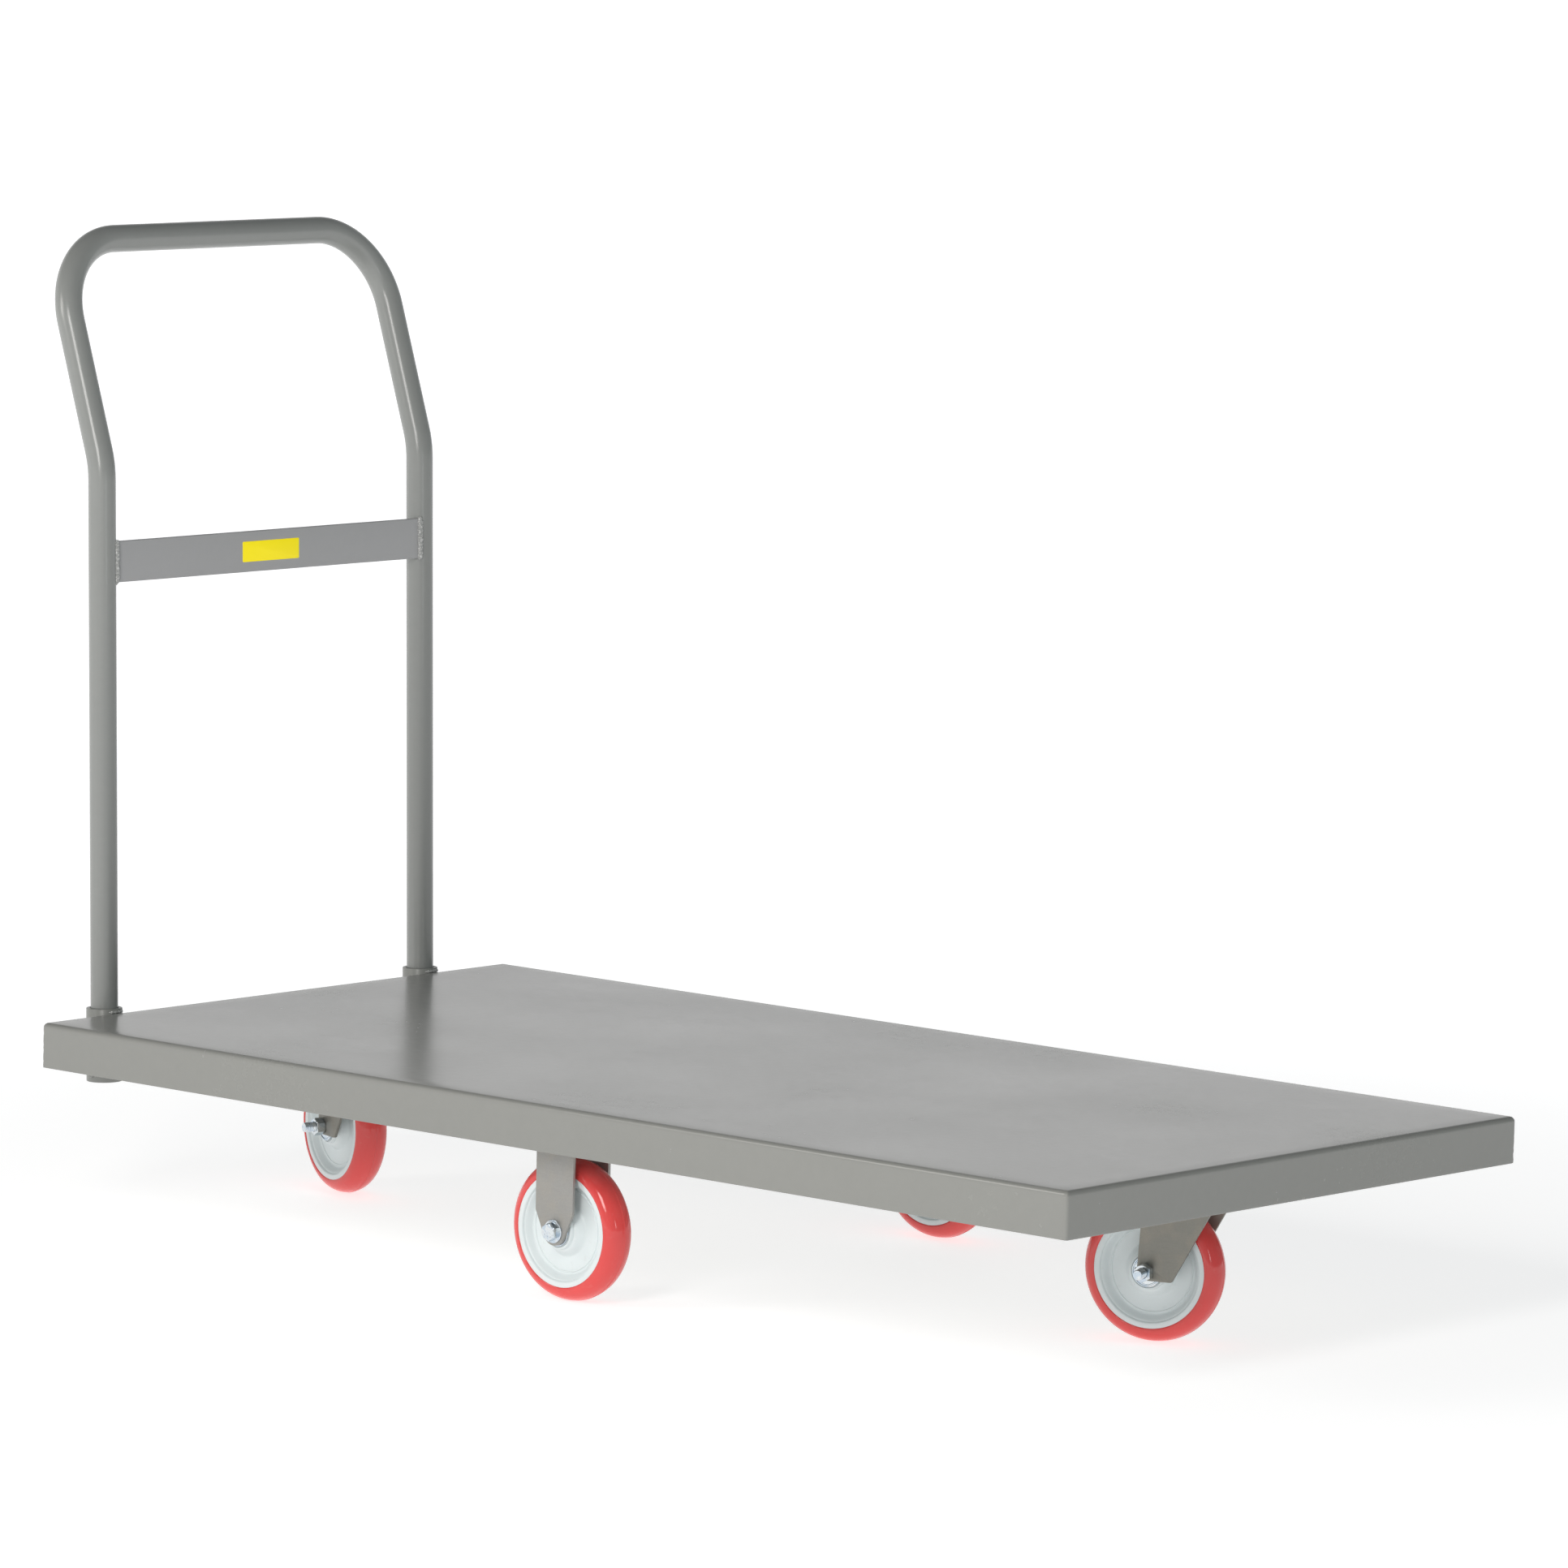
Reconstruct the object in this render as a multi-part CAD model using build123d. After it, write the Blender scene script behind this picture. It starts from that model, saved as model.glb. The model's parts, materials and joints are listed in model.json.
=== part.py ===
from build123d import *
import math
import os

# Flatbed platform truck: a folded steel deck on four casters set in a diamond,
# with a lift-out tubular handle in two sockets on the rear end of the deck.
# Frame: +X runs from the handle end (rear) to the open end (front), +Y is the
# left side, +Z is up. The origin is on the floor, under the middle of the
# whole truck. All sizes are in millimetres.

# ---------------------------------------------------------------- deck
DECK_LENGTH = 1219.2
DECK_WIDTH = 609.6
DECK_SHEET = 2.66
LIP_HEIGHT = 41.3
FOLD_RADIUS = 4.5

# cross channels under the deck that carry the casters
CHANNEL_WIDTH = 146.0
CHANNEL_HEIGHT = 12.7
CHANNEL_SHEET = 2.66
CHANNEL_END_GAP = 3.0
STITCH_LENGTH = 32.0
STITCH_LEG = 3.0
STITCHES_PER_SIDE = 5

# ---------------------------------------------------------------- wheels
WHEEL_DIAMETER = 127.0
WHEEL_WIDTH = 31.8
TREAD_DEPTH = 12.7
RIM_FACE_INSET = 0.5
RIM_RING = 5.0
WEB_THICKNESS = 15.0
WEB_DISHING = 4.0
BOSS_DIAMETER = 33.0
BOSS_PROUD = 3.65
BOSS_FOOT_RISE = 1.0
RIM_FOOT_START = 1.5
RIM_FOOT_MIDDLE = 0.6
RIM_FOOT_RISE = 1.5
BEARING_DIAMETER = 22.0
BEARING_SHELL = 0.8
ROLLERS_PER_BEARING = 10
ROLLER_CLEARANCE = 0.05
ROLLER_END_GAP = 1.0

# axle of each wheel: a hex bolt through a span bushing
AXLE_DIAMETER = 9.5
BUSHING_DIAMETER = 12.7
BOLT_HOLE_CLEARANCE = 0.25
HEX_ACROSS_FLATS = 14.3
BOLT_HEAD_HEIGHT = 6.0
AXLE_NUT_HEIGHT = 8.6
AXLE_END_LENGTH = 10.5
HEX_CHAMFER_RADIAL = 0.9
HEX_CHAMFER_AXIAL = 0.5
BOLT_END_CHAMFER = 1.0
BOLT_WASHER_DIAMETER = 20.6
BOLT_WASHER_THICKNESS = 1.5
THRUST_WASHER_DIAMETER = 27.4
THRUST_WASHER_THICKNESS = 1.5
WHEEL_SIDE_CLEARANCE = 0.35

# ---------------------------------------------------------------- casters
HEADROOM = 38.1
PLATE_LENGTH = 114.3
PLATE_WIDTH = 101.6
PLATE_THICKNESS = 4.8
PLATE_CORNER = 10.0
MOUNT_HOLES_X = 84.2
MOUNT_HOLES_Y = 71.4
MOUNT_SLOT_RUN = 9.2
MOUNT_SLOT_ANGLE = -58.0
MOUNT_BOLT_DIAMETER = 7.9
MOUNT_HEAD_DIAMETER = 17.0
MOUNT_HEAD_HEIGHT = 4.2
MOUNT_NUT_FLATS = 12.7
MOUNT_NUT_HEIGHT = 6.8
MOUNT_BOLT_END = 3.5
MOUNT_HEAD_ROUNDING = 0.7
MOUNT_END_CHAMFER = 0.8
DRILL_OVERRUN = 1.0
FORK_SHEET = 3.2
FORK_FOLD = 2.0

# rigid casters, one on each side at the middle of the deck
RIGID_SIDE_INSET = 58.5
RIGID_LEG_WIDTH = 44.0
RIGID_TAPER_START = 17.0
RIGID_NOSE_RADIUS = 12.6

# swivel casters, one at each end on the centre line
SWIVEL_END_INSET = 112.0
SWIVEL_TRAIL = 34.0
FRONT_REST_ANGLE = 18.5
REAR_REST_ANGLE = -17.8
YOKE_REAR_REACH = 8.5
YOKE_REAR_REACH_TOP = 2.0
YOKE_LEG_BELOW_AXLE = 7.5
YOKE_TOE = 24.0
YOKE_KNEE_REACH = 57.0
YOKE_KNEE_HEIGHT = 53.0
YOKE_CORNER = 2.5
CROWN_DIAMETER = 72.0
CROWN_THICKNESS = 4.0
CROWN_RIM_WIDTH = 2.2
CROWN_RIM_HEIGHT = 2.6
UPPER_RACE_RADIUS = 26.0
UPPER_BALL_DIAMETER = 6.35
LOWER_BALL_DIAMETER = 4.76
BALL_SPACING = 1.0
LOWER_RACE_LEG_GAP = 1.2
LOWER_RACE_BORDER = 3.0
LOWER_RACE_THICKNESS = 3.0
GROOVE_DEPTH_SHARE = 0.19
BALL_CLEARANCE = 0.05
KINGPIN_DIAMETER = 12.7
KINGPIN_HOLE_CLEARANCE = 1.6
KINGPIN_NUT_FLATS = 19.0
KINGPIN_NUT_HEIGHT = 8.0
KINGPIN_END = 1.8
KINGPIN_CHAMFER = 1.2

# ---------------------------------------------------------------- handle
TUBE_DIAMETER = 25.4
TUBE_WALL = 2.1
POST_SPACING = 418.0
POST_RAKE = 1.5
POST_LENGTH = 503.0
BEND_ANGLE = 17.0
UPPER_LENGTH = 212.0
POST_BEND_RADIUS = 90.0
TOP_CORNER_RADIUS = 76.0
SOCKET_CLEARANCE = 0.62
SOCKET_WALL = 3.38
SOCKET_ABOVE_DECK = 3.0
SOCKET_BELOW_DECK = 65.0
SOCKET_LIP_GAP = 0.1
SOCKET_WELD_RADIUS = 5.0
SOCKET_WELD_END_GAP = 3.0
STOP_PIN_DIAMETER = 6.4
STOP_PIN_ABOVE_END = 7.5
STOP_PIN_PROUD = 1.5
STOP_GAP = 0.05
BRACE_HEIGHT = 38.1
BRACE_THICKNESS = 4.8
BRACE_MIDDLE = 414.0
BRACE_FACE_OFFSET = 9.2
BRACE_WELD_RADIUS = 3.2
LABEL_LENGTH = 74.0
LABEL_HEIGHT = 19.0
LABEL_THICKNESS = 0.3
LABEL_CORNER = 1.0

# ---------------------------------------------------------------- worked out
WHEEL_RADIUS = WHEEL_DIAMETER / 2
CASTER_HEIGHT = WHEEL_DIAMETER + HEADROOM
CHANNEL_BOTTOM = CASTER_HEIGHT
DECK_UNDERSIDE = CASTER_HEIGHT + CHANNEL_HEIGHT
DECK_TOP = DECK_UNDERSIDE + DECK_SHEET
PLATE_UNDERSIDE = CASTER_HEIGHT - PLATE_THICKNESS

HUB_RADIUS = WHEEL_RADIUS - TREAD_DEPTH
HUB_HALF_WIDTH = WHEEL_WIDTH / 2 - RIM_FACE_INSET
BOSS_HALF_LENGTH = HUB_HALF_WIDTH + BOSS_PROUD
LEG_INNER = BOSS_HALF_LENGTH + WHEEL_SIDE_CLEARANCE + THRUST_WASHER_THICKNESS
LEG_OUTER = LEG_INNER + FORK_SHEET

SOCKET_INNER_RADIUS = TUBE_DIAMETER / 2 + SOCKET_CLEARANCE
SOCKET_RADIUS = SOCKET_INNER_RADIUS + SOCKET_WALL
# the raked socket touches the lip at the lip's lower edge
SOCKET_STANDOFF = (SOCKET_RADIUS + SOCKET_LIP_GAP) / math.cos(math.radians(POST_RAKE))
POST_AT_DECK = SOCKET_STANDOFF + LIP_HEIGHT * math.tan(math.radians(POST_RAKE))
UPPER_TILT = math.radians(POST_RAKE + BEND_ANGLE)
BAR_OVERHANG = POST_LENGTH * math.sin(math.radians(POST_RAKE)) + UPPER_LENGTH * math.sin(UPPER_TILT)
HANDLE_REACH = POST_AT_DECK + BAR_OVERHANG + TUBE_DIAMETER / 2

DECK_REAR = -(DECK_LENGTH + HANDLE_REACH) / 2 + HANDLE_REACH
DECK_FRONT = DECK_REAR + DECK_LENGTH
DECK_MIDDLE = DECK_REAR + DECK_LENGTH / 2
RIGID_Y = DECK_WIDTH / 2 - RIGID_SIDE_INSET
FRONT_PIVOT_X = DECK_FRONT - SWIVEL_END_INSET
REAR_PIVOT_X = DECK_REAR + SWIVEL_END_INSET

LOWER_RACE_OUTER = LEG_INNER - LOWER_RACE_LEG_GAP
LOWER_RACE_RADIUS = LOWER_RACE_OUTER - LOWER_RACE_BORDER
UPPER_GROOVE = UPPER_BALL_DIAMETER * GROOVE_DEPTH_SHARE
LOWER_GROOVE = LOWER_BALL_DIAMETER * GROOVE_DEPTH_SHARE
UPPER_GAP = UPPER_BALL_DIAMETER + 2 * BALL_CLEARANCE - 2 * UPPER_GROOVE
LOWER_GAP = LOWER_BALL_DIAMETER + 2 * BALL_CLEARANCE - 2 * LOWER_GROOVE
CROWN_TOP = PLATE_UNDERSIDE - UPPER_GAP
CROWN_BOTTOM = CROWN_TOP - CROWN_THICKNESS
LOWER_RACE_TOP = CROWN_BOTTOM - LOWER_GAP
LOWER_RACE_BOTTOM = LOWER_RACE_TOP - LOWER_RACE_THICKNESS
KINGPIN_BOTTOM = LOWER_RACE_BOTTOM - KINGPIN_NUT_HEIGHT - KINGPIN_END

# turns a shape built along +Z so that it lies along +Y
ALONG_Y = Rot(-90, 0, 0)


# ---------------------------------------------------------------- helpers
def tube(outer_radius, inner_radius, bottom, top):
    """A hollow cylinder on the Z axis between two heights."""
    height = top - bottom
    ring = Circle(outer_radius) - Circle(inner_radius)
    return Pos(0, 0, bottom) * extrude(ring, height)


def rod(radius, bottom, top):
    """A solid cylinder on the Z axis between two heights."""
    return Pos(0, 0, bottom) * extrude(Circle(radius), top - bottom)


def hexagon(across_flats, bottom, top, hole_radius=0.0):
    """A hex nut or bolt head on the Z axis, its corners turned down at both ends."""
    body = Pos(0, 0, bottom) * extrude(RegularPolygon(across_flats / 2, 6, major_radius=False), top - bottom)
    corner_radius = across_flats / math.sqrt(3)
    turned = rod(corner_radius, bottom, top)
    turned = chamfer(turned.edges(), length=HEX_CHAMFER_RADIAL, length2=HEX_CHAMFER_AXIAL)
    body = body & turned
    if hole_radius:
        body = body - rod(hole_radius, bottom, top)
    return body


def turned_by(profile_points):
    """Revolve a closed outline of (radius, height) points about Z."""
    outline = Polyline(*[(r, 0, z) for r, z in profile_points], close=True)
    return revolve(make_face(outline), Axis.Z)


def ball_ring(ring_radius, ball_diameter, height):
    """A ring of as many loose balls as fit with their spacing."""
    ball = Sphere(ball_diameter / 2)
    count = int(2 * math.pi * ring_radius / (ball_diameter + BALL_SPACING))
    balls = []
    for index in range(count):
        turn = 360 * index / count
        balls.append(Rot(0, 0, turn) * Pos(ring_radius, 0, height) * ball)
    return balls


def save(name, shapes):
    """Write one node: a single solid or a group of separate solids."""
    solids = []
    for shape in shapes if isinstance(shapes, (list, tuple)) else [shapes]:
        solids.extend(shape.solids())
    export_step(Compound(children=solids) if len(solids) > 1 else solids[0], f"parts/{name}.step")


# ---------------------------------------------------------------- deck
def deck_pan():
    """Sheet pan with its four lips folded down and its corners welded and ground."""
    outer = Box(DECK_LENGTH, DECK_WIDTH, LIP_HEIGHT, align=(Align.CENTER, Align.CENTER, Align.MAX))
    outer = fillet(outer.faces().sort_by(Axis.Z)[-1].edges(), FOLD_RADIUS)
    inner_height = LIP_HEIGHT - DECK_SHEET
    inner = Box(DECK_LENGTH - 2 * DECK_SHEET, DECK_WIDTH - 2 * DECK_SHEET, inner_height,
                align=(Align.CENTER, Align.CENTER, Align.MAX))
    inner = fillet(inner.faces().sort_by(Axis.Z)[-1].edges(), FOLD_RADIUS - DECK_SHEET)
    pan = outer - Pos(0, 0, -DECK_SHEET) * inner
    return Pos(DECK_MIDDLE, 0, DECK_TOP) * pan


def channel_length():
    return DECK_WIDTH - 2 * DECK_SHEET - 2 * CHANNEL_END_GAP


def cross_channel(x_position):
    """Shallow channel, web down, its two legs welded to the deck's underside."""
    length = channel_length()
    outer = Box(CHANNEL_WIDTH, length, CHANNEL_HEIGHT, align=(Align.CENTER, Align.CENTER, Align.MIN))
    inner = Box(CHANNEL_WIDTH - 2 * CHANNEL_SHEET, length, CHANNEL_HEIGHT,
                align=(Align.CENTER, Align.CENTER, Align.MIN))
    outer = fillet(outer.faces().sort_by(Axis.Z)[0].edges().filter_by(Axis.Y), CHANNEL_SHEET)
    return Pos(x_position, 0, CHANNEL_BOTTOM) * (outer - Pos(0, 0, CHANNEL_SHEET) * inner)


def stitch_welds(x_position):
    """Short fillet welds along both legs of a cross channel."""
    section = Polyline((0, 0, 0), (STITCH_LEG, 0, 0), (0, 0, -STITCH_LEG), close=True)
    bead = extrude(make_face(section), STITCH_LENGTH / 2, dir=(0, 1, 0), both=True)
    pitch = channel_length() / STITCHES_PER_SIDE
    welds = []
    for index in range(STITCHES_PER_SIDE):
        y_position = (index - (STITCHES_PER_SIDE - 1) / 2) * pitch
        for turn in (0, 180):
            place = Pos(x_position, y_position, DECK_UNDERSIDE) * Rot(0, 0, turn)
            welds.append(place * Pos(CHANNEL_WIDTH / 2, 0, 0) * bead)
    return welds


# ---------------------------------------------------------------- wheels
def wheel_hub():
    """Moulded hub along Z: rim ring, dished web and a raised boss."""
    face = HUB_HALF_WIDTH
    boss_face = BOSS_HALF_LENGTH
    web = WEB_THICKNESS / 2
    boss = BOSS_DIAMETER / 2
    ring_inner = HUB_RADIUS - RIM_RING
    upper = [
        (BEARING_DIAMETER / 2, boss_face),
        (boss, boss_face),
        (boss + WEB_DISHING, web + BOSS_FOOT_RISE),
        (boss + 2 * WEB_DISHING, web),
        (ring_inner - RIM_FOOT_START * WEB_DISHING, web),
        (ring_inner - RIM_FOOT_MIDDLE * WEB_DISHING, web + RIM_FOOT_RISE),
        (ring_inner, face),
        (HUB_RADIUS, face),
    ]
    lower = [(radius, -height) for radius, height in reversed(upper)]
    return turned_by(upper + lower)


def wheel_tyre():
    """Moulded tread on the hub, its section half an ellipse."""
    crown = WHEEL_RADIUS - HUB_RADIUS
    half_width = WHEEL_WIDTH / 2
    arc = EllipticalCenterArc((HUB_RADIUS, 0), crown, half_width, start_angle=-90, arc_size=180)
    section = make_face(arc + Line(arc @ 1, arc @ 0))
    ring = revolve(Plane.XZ * section, Axis.Z)
    return ring


def roller_bearing():
    """Thin shell pressed into the hub, with rollers that run on the span bushing."""
    bearing = BEARING_DIAMETER / 2
    bore = bearing - BEARING_SHELL
    bushing = BUSHING_DIAMETER / 2
    roller_radius = (bore - bushing) / 2 - ROLLER_CLEARANCE
    half_length = BOSS_HALF_LENGTH - ROLLER_END_GAP
    pieces = [tube(bearing, bore, -BOSS_HALF_LENGTH, BOSS_HALF_LENGTH)]
    roller = Pos((bore + bushing) / 2, 0, 0) * rod(roller_radius, -half_length, half_length)
    for index in range(ROLLERS_PER_BEARING):
        pieces.append(Rot(0, 0, 360 * index / ROLLERS_PER_BEARING) * roller)
    return pieces


def axle_bolt(nut_seat):
    """Hex bolt along Z, its head at the bottom and its end beyond a nut on the seat given."""
    head_top = -LEG_OUTER - BOLT_WASHER_THICKNESS
    end = nut_seat + AXLE_NUT_HEIGHT + AXLE_END_LENGTH
    head = hexagon(HEX_ACROSS_FLATS, head_top - BOLT_HEAD_HEIGHT, head_top)
    shank = rod(AXLE_DIAMETER / 2, head_top, end)
    shank = chamfer(shank.edges().sort_by(Axis.Z)[-1], BOLT_END_CHAMFER)
    return head + shank


def axle_nut(nut_seat):
    return hexagon(HEX_ACROSS_FLATS, nut_seat, nut_seat + AXLE_NUT_HEIGHT, AXLE_DIAMETER / 2)


def bolt_washer(inner_face):
    """Washer along Z whose lower face is at the height given."""
    hole = AXLE_DIAMETER / 2 + BOLT_HOLE_CLEARANCE
    return tube(BOLT_WASHER_DIAMETER / 2, hole, inner_face, inner_face + BOLT_WASHER_THICKNESS)


def thrust_washers():
    radius = THRUST_WASHER_DIAMETER / 2
    hole = BUSHING_DIAMETER / 2
    inner_face = LEG_INNER - THRUST_WASHER_THICKNESS
    return [tube(radius, hole, inner_face, LEG_INNER), tube(radius, hole, -LEG_INNER, -inner_face)]


def span_bushing():
    return tube(BUSHING_DIAMETER / 2, AXLE_DIAMETER / 2 + BOLT_HOLE_CLEARANCE, -LEG_INNER, LEG_INNER)


# ---------------------------------------------------------------- casters
def mount_points():
    """The four caster bolt places, with the lean of the slot at each."""
    points = []
    for x_sign in (-1, 1):
        for y_sign in (-1, 1):
            slot_turn = MOUNT_SLOT_ANGLE * x_sign * y_sign
            points.append((x_sign * MOUNT_HOLES_X / 2, y_sign * MOUNT_HOLES_Y / 2, slot_turn))
    return points


def mounting_plate():
    """Caster top plate with rounded corners and four slanted slots."""
    plate = RectangleRounded(PLATE_LENGTH, PLATE_WIDTH, PLATE_CORNER)
    slot = SlotCenterToCenter(MOUNT_SLOT_RUN, MOUNT_BOLT_DIAMETER + 2 * BOLT_HOLE_CLEARANCE)
    for x_position, y_position, slot_turn in mount_points():
        plate = plate - Pos(x_position, y_position) * Rot(0, 0, slot_turn) * slot
    return Pos(0, 0, PLATE_UNDERSIDE) * extrude(plate, PLATE_THICKNESS)


def drill_channel(channel, caster_places):
    """Round holes in a channel's web for the bolts of the casters on it."""
    hole_radius = MOUNT_BOLT_DIAMETER / 2 + BOLT_HOLE_CLEARANCE
    hole = rod(hole_radius, -DRILL_OVERRUN, CHANNEL_SHEET + DRILL_OVERRUN)
    for place in caster_places:
        for x_position, y_position, _ in mount_points():
            channel = channel - place * Pos(x_position, y_position, CHANNEL_BOTTOM) * hole
    return channel


def mount_bolt():
    """Low round-headed bolt, its head inside the channel and its thread below the plate."""
    seat = CHANNEL_BOTTOM + CHANNEL_SHEET
    end = PLATE_UNDERSIDE - MOUNT_NUT_HEIGHT - MOUNT_BOLT_END
    head = rod(MOUNT_HEAD_DIAMETER / 2, seat, seat + MOUNT_HEAD_HEIGHT)
    head = fillet(head.edges().sort_by(Axis.Z)[-1], MOUNT_HEAD_HEIGHT * MOUNT_HEAD_ROUNDING)
    shank = rod(MOUNT_BOLT_DIAMETER / 2, end, seat)
    shank = chamfer(shank.edges().sort_by(Axis.Z)[0], MOUNT_END_CHAMFER)
    return head + shank


def mount_nut():
    bottom = PLATE_UNDERSIDE - MOUNT_NUT_HEIGHT
    return hexagon(MOUNT_NUT_FLATS, bottom, PLATE_UNDERSIDE, MOUNT_BOLT_DIAMETER / 2)


def at_mount_points(shape, caster_places):
    """Copies of a fastener at every bolt place of the casters given."""
    copies = []
    for place in caster_places:
        for x_position, y_position, _ in mount_points():
            copies.append(place * Pos(x_position, y_position, 0) * shape)
    return copies


def folded_strip(top, bottom, length, crown_thickness):
    """An upside-down U of sheet along X: two legs and a crown, with rounded folds."""
    outer = Rectangle(2 * LEG_OUTER, top - bottom, align=(Align.CENTER, Align.MAX))
    outer = fillet(outer.vertices().group_by(Axis.Y)[-1], FORK_FOLD + FORK_SHEET)
    inner = Rectangle(2 * LEG_INNER, top - bottom, align=(Align.CENTER, Align.MAX))
    inner = fillet(inner.vertices().group_by(Axis.Y)[-1], FORK_FOLD)
    section = outer - Pos(0, -crown_thickness) * inner
    strip = extrude(Plane.YZ * section, length / 2, both=True)
    return Pos(0, 0, top) * strip


def axle_hole():
    return ALONG_Y * rod(AXLE_DIAMETER / 2 + BOLT_HOLE_CLEARANCE, -2 * LEG_OUTER, 2 * LEG_OUTER)


def rigid_fork():
    """Fork of a rigid caster: straight legs that taper to a round nose at the axle."""
    half = RIGID_LEG_WIDTH / 2
    distance = math.hypot(half, RIGID_TAPER_START)
    touch = math.atan2(RIGID_TAPER_START, half) - math.acos(RIGID_NOSE_RADIUS / distance)
    nose_x = RIGID_NOSE_RADIUS * math.cos(touch)
    nose_z = RIGID_NOSE_RADIUS * math.sin(touch)
    top = PLATE_UNDERSIDE - WHEEL_RADIUS
    sides = Polyline((-nose_x, nose_z), (-half, RIGID_TAPER_START), (-half, top), (half, top),
                     (half, RIGID_TAPER_START), (nose_x, nose_z))
    nose = ThreePointArc((nose_x, nose_z), (0, -RIGID_NOSE_RADIUS), (-nose_x, nose_z))
    outline = extrude(Plane.XZ * make_face(sides + nose), 2 * LEG_OUTER, both=True)
    strip = folded_strip(PLATE_UNDERSIDE, 0, RIGID_LEG_WIDTH * 2, FORK_SHEET)
    lift = Pos(0, 0, WHEEL_RADIUS)
    return (strip & (lift * outline)) - lift * axle_hole()


def swivel_plate():
    """Swivel caster's top plate with its ball groove and its forged kingpin."""
    plate = mounting_plate()
    pin = rod(KINGPIN_DIAMETER / 2, KINGPIN_BOTTOM, PLATE_UNDERSIDE + PLATE_THICKNESS / 2)
    pin = chamfer(pin.edges().sort_by(Axis.Z)[0], KINGPIN_CHAMFER)
    groove = Torus(UPPER_RACE_RADIUS, UPPER_BALL_DIAMETER / 2 + BALL_CLEARANCE)
    return plate + pin - Pos(0, 0, PLATE_UNDERSIDE - UPPER_GAP / 2) * groove


def lower_race():
    """Washer on the kingpin that holds the lower balls up against the crown."""
    ring = tube(LOWER_RACE_OUTER, KINGPIN_DIAMETER / 2, LOWER_RACE_BOTTOM, LOWER_RACE_TOP)
    groove = Torus(LOWER_RACE_RADIUS, LOWER_BALL_DIAMETER / 2 + BALL_CLEARANCE)
    return ring - Pos(0, 0, LOWER_RACE_TOP + LOWER_GAP / 2) * groove


def kingpin_nut():
    bottom = LOWER_RACE_BOTTOM - KINGPIN_NUT_HEIGHT
    return hexagon(KINGPIN_NUT_FLATS, bottom, LOWER_RACE_BOTTOM, KINGPIN_DIAMETER / 2)


def swivel_yoke():
    """Yoke that turns on the balls: round crown and two legs that lean back to the axle."""
    axle_x = -SWIVEL_TRAIL
    crown_reach = CROWN_DIAMETER / 2
    crown_height = CROWN_TOP - WHEEL_RADIUS
    outline = Polyline(
        (axle_x - YOKE_REAR_REACH, -YOKE_LEG_BELOW_AXLE),
        (axle_x - YOKE_REAR_REACH_TOP, crown_height),
        (crown_reach, crown_height),
        (axle_x + YOKE_KNEE_REACH, YOKE_KNEE_HEIGHT),
        (axle_x + YOKE_TOE, -YOKE_LEG_BELOW_AXLE),
        close=True,
    )
    side = make_face(outline)
    side = fillet(side.vertices().group_by(Axis.Y)[0], YOKE_CORNER)
    side = extrude(Plane.XZ * side, 2 * LEG_OUTER, both=True)
    lift = Pos(0, 0, WHEEL_RADIUS)
    legs = folded_strip(CROWN_TOP, 0, 4 * CROWN_DIAMETER, CROWN_THICKNESS) & (lift * side)
    crown = rod(crown_reach, CROWN_BOTTOM, CROWN_TOP)
    rim = tube(crown_reach, crown_reach - CROWN_RIM_WIDTH, CROWN_TOP, CROWN_TOP + CROWN_RIM_HEIGHT)
    yoke = legs + crown + rim
    yoke = yoke - rod(KINGPIN_DIAMETER / 2 + KINGPIN_HOLE_CLEARANCE, LOWER_RACE_BOTTOM, PLATE_UNDERSIDE)
    upper_groove = Torus(UPPER_RACE_RADIUS, UPPER_BALL_DIAMETER / 2 + BALL_CLEARANCE)
    lower_groove = Torus(LOWER_RACE_RADIUS, LOWER_BALL_DIAMETER / 2 + BALL_CLEARANCE)
    yoke = yoke - Pos(0, 0, PLATE_UNDERSIDE - UPPER_GAP / 2) * upper_groove
    yoke = yoke - Pos(0, 0, CROWN_BOTTOM - LOWER_GAP / 2) * lower_groove
    return yoke - lift * Pos(axle_x, 0, 0) * axle_hole()


# ---------------------------------------------------------------- handle
# The handle is drawn upright, on the height of the deck's top, then leaned back.
LEAN_BACK = Pos(DECK_REAR - POST_AT_DECK, 0, DECK_TOP) * Rot(0, -POST_RAKE, 0)


def tube_end():
    """Height of the tubes' lower ends, where they sit on the stop pins."""
    return -SOCKET_BELOW_DECK + STOP_PIN_ABOVE_END + STOP_PIN_DIAMETER / 2 + STOP_GAP


def handle_tube():
    """One bent tube: two posts, two bends back, and a round-cornered top bar."""
    side = POST_SPACING / 2
    back = UPPER_LENGTH * math.sin(math.radians(BEND_ANGLE))
    rise = POST_LENGTH + UPPER_LENGTH * math.cos(math.radians(BEND_ANGLE))
    points = [
        (0, -side, tube_end()),
        (0, -side, POST_LENGTH),
        (-back, -side, rise),
        (-back, side, rise),
        (0, side, POST_LENGTH),
        (0, side, tube_end()),
    ]
    radii = [POST_BEND_RADIUS, TOP_CORNER_RADIUS, TOP_CORNER_RADIUS, POST_BEND_RADIUS]
    path = FilletPolyline(*points, radius=radii)
    ring = Circle(TUBE_DIAMETER / 2) - Circle(TUBE_DIAMETER / 2 - TUBE_WALL)
    section = Plane(origin=points[0], z_dir=(0, 0, 1)) * ring
    return LEAN_BACK * sweep(section, path=path)


def post_rods():
    """Solid rods where the two posts stand, to cut neighbours back to the tube."""
    rods = []
    for y_sign in (-1, 1):
        post = rod(TUBE_DIAMETER / 2, tube_end(), POST_LENGTH)
        rods.append(Pos(0, y_sign * POST_SPACING / 2, 0) * post)
    return rods


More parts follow.
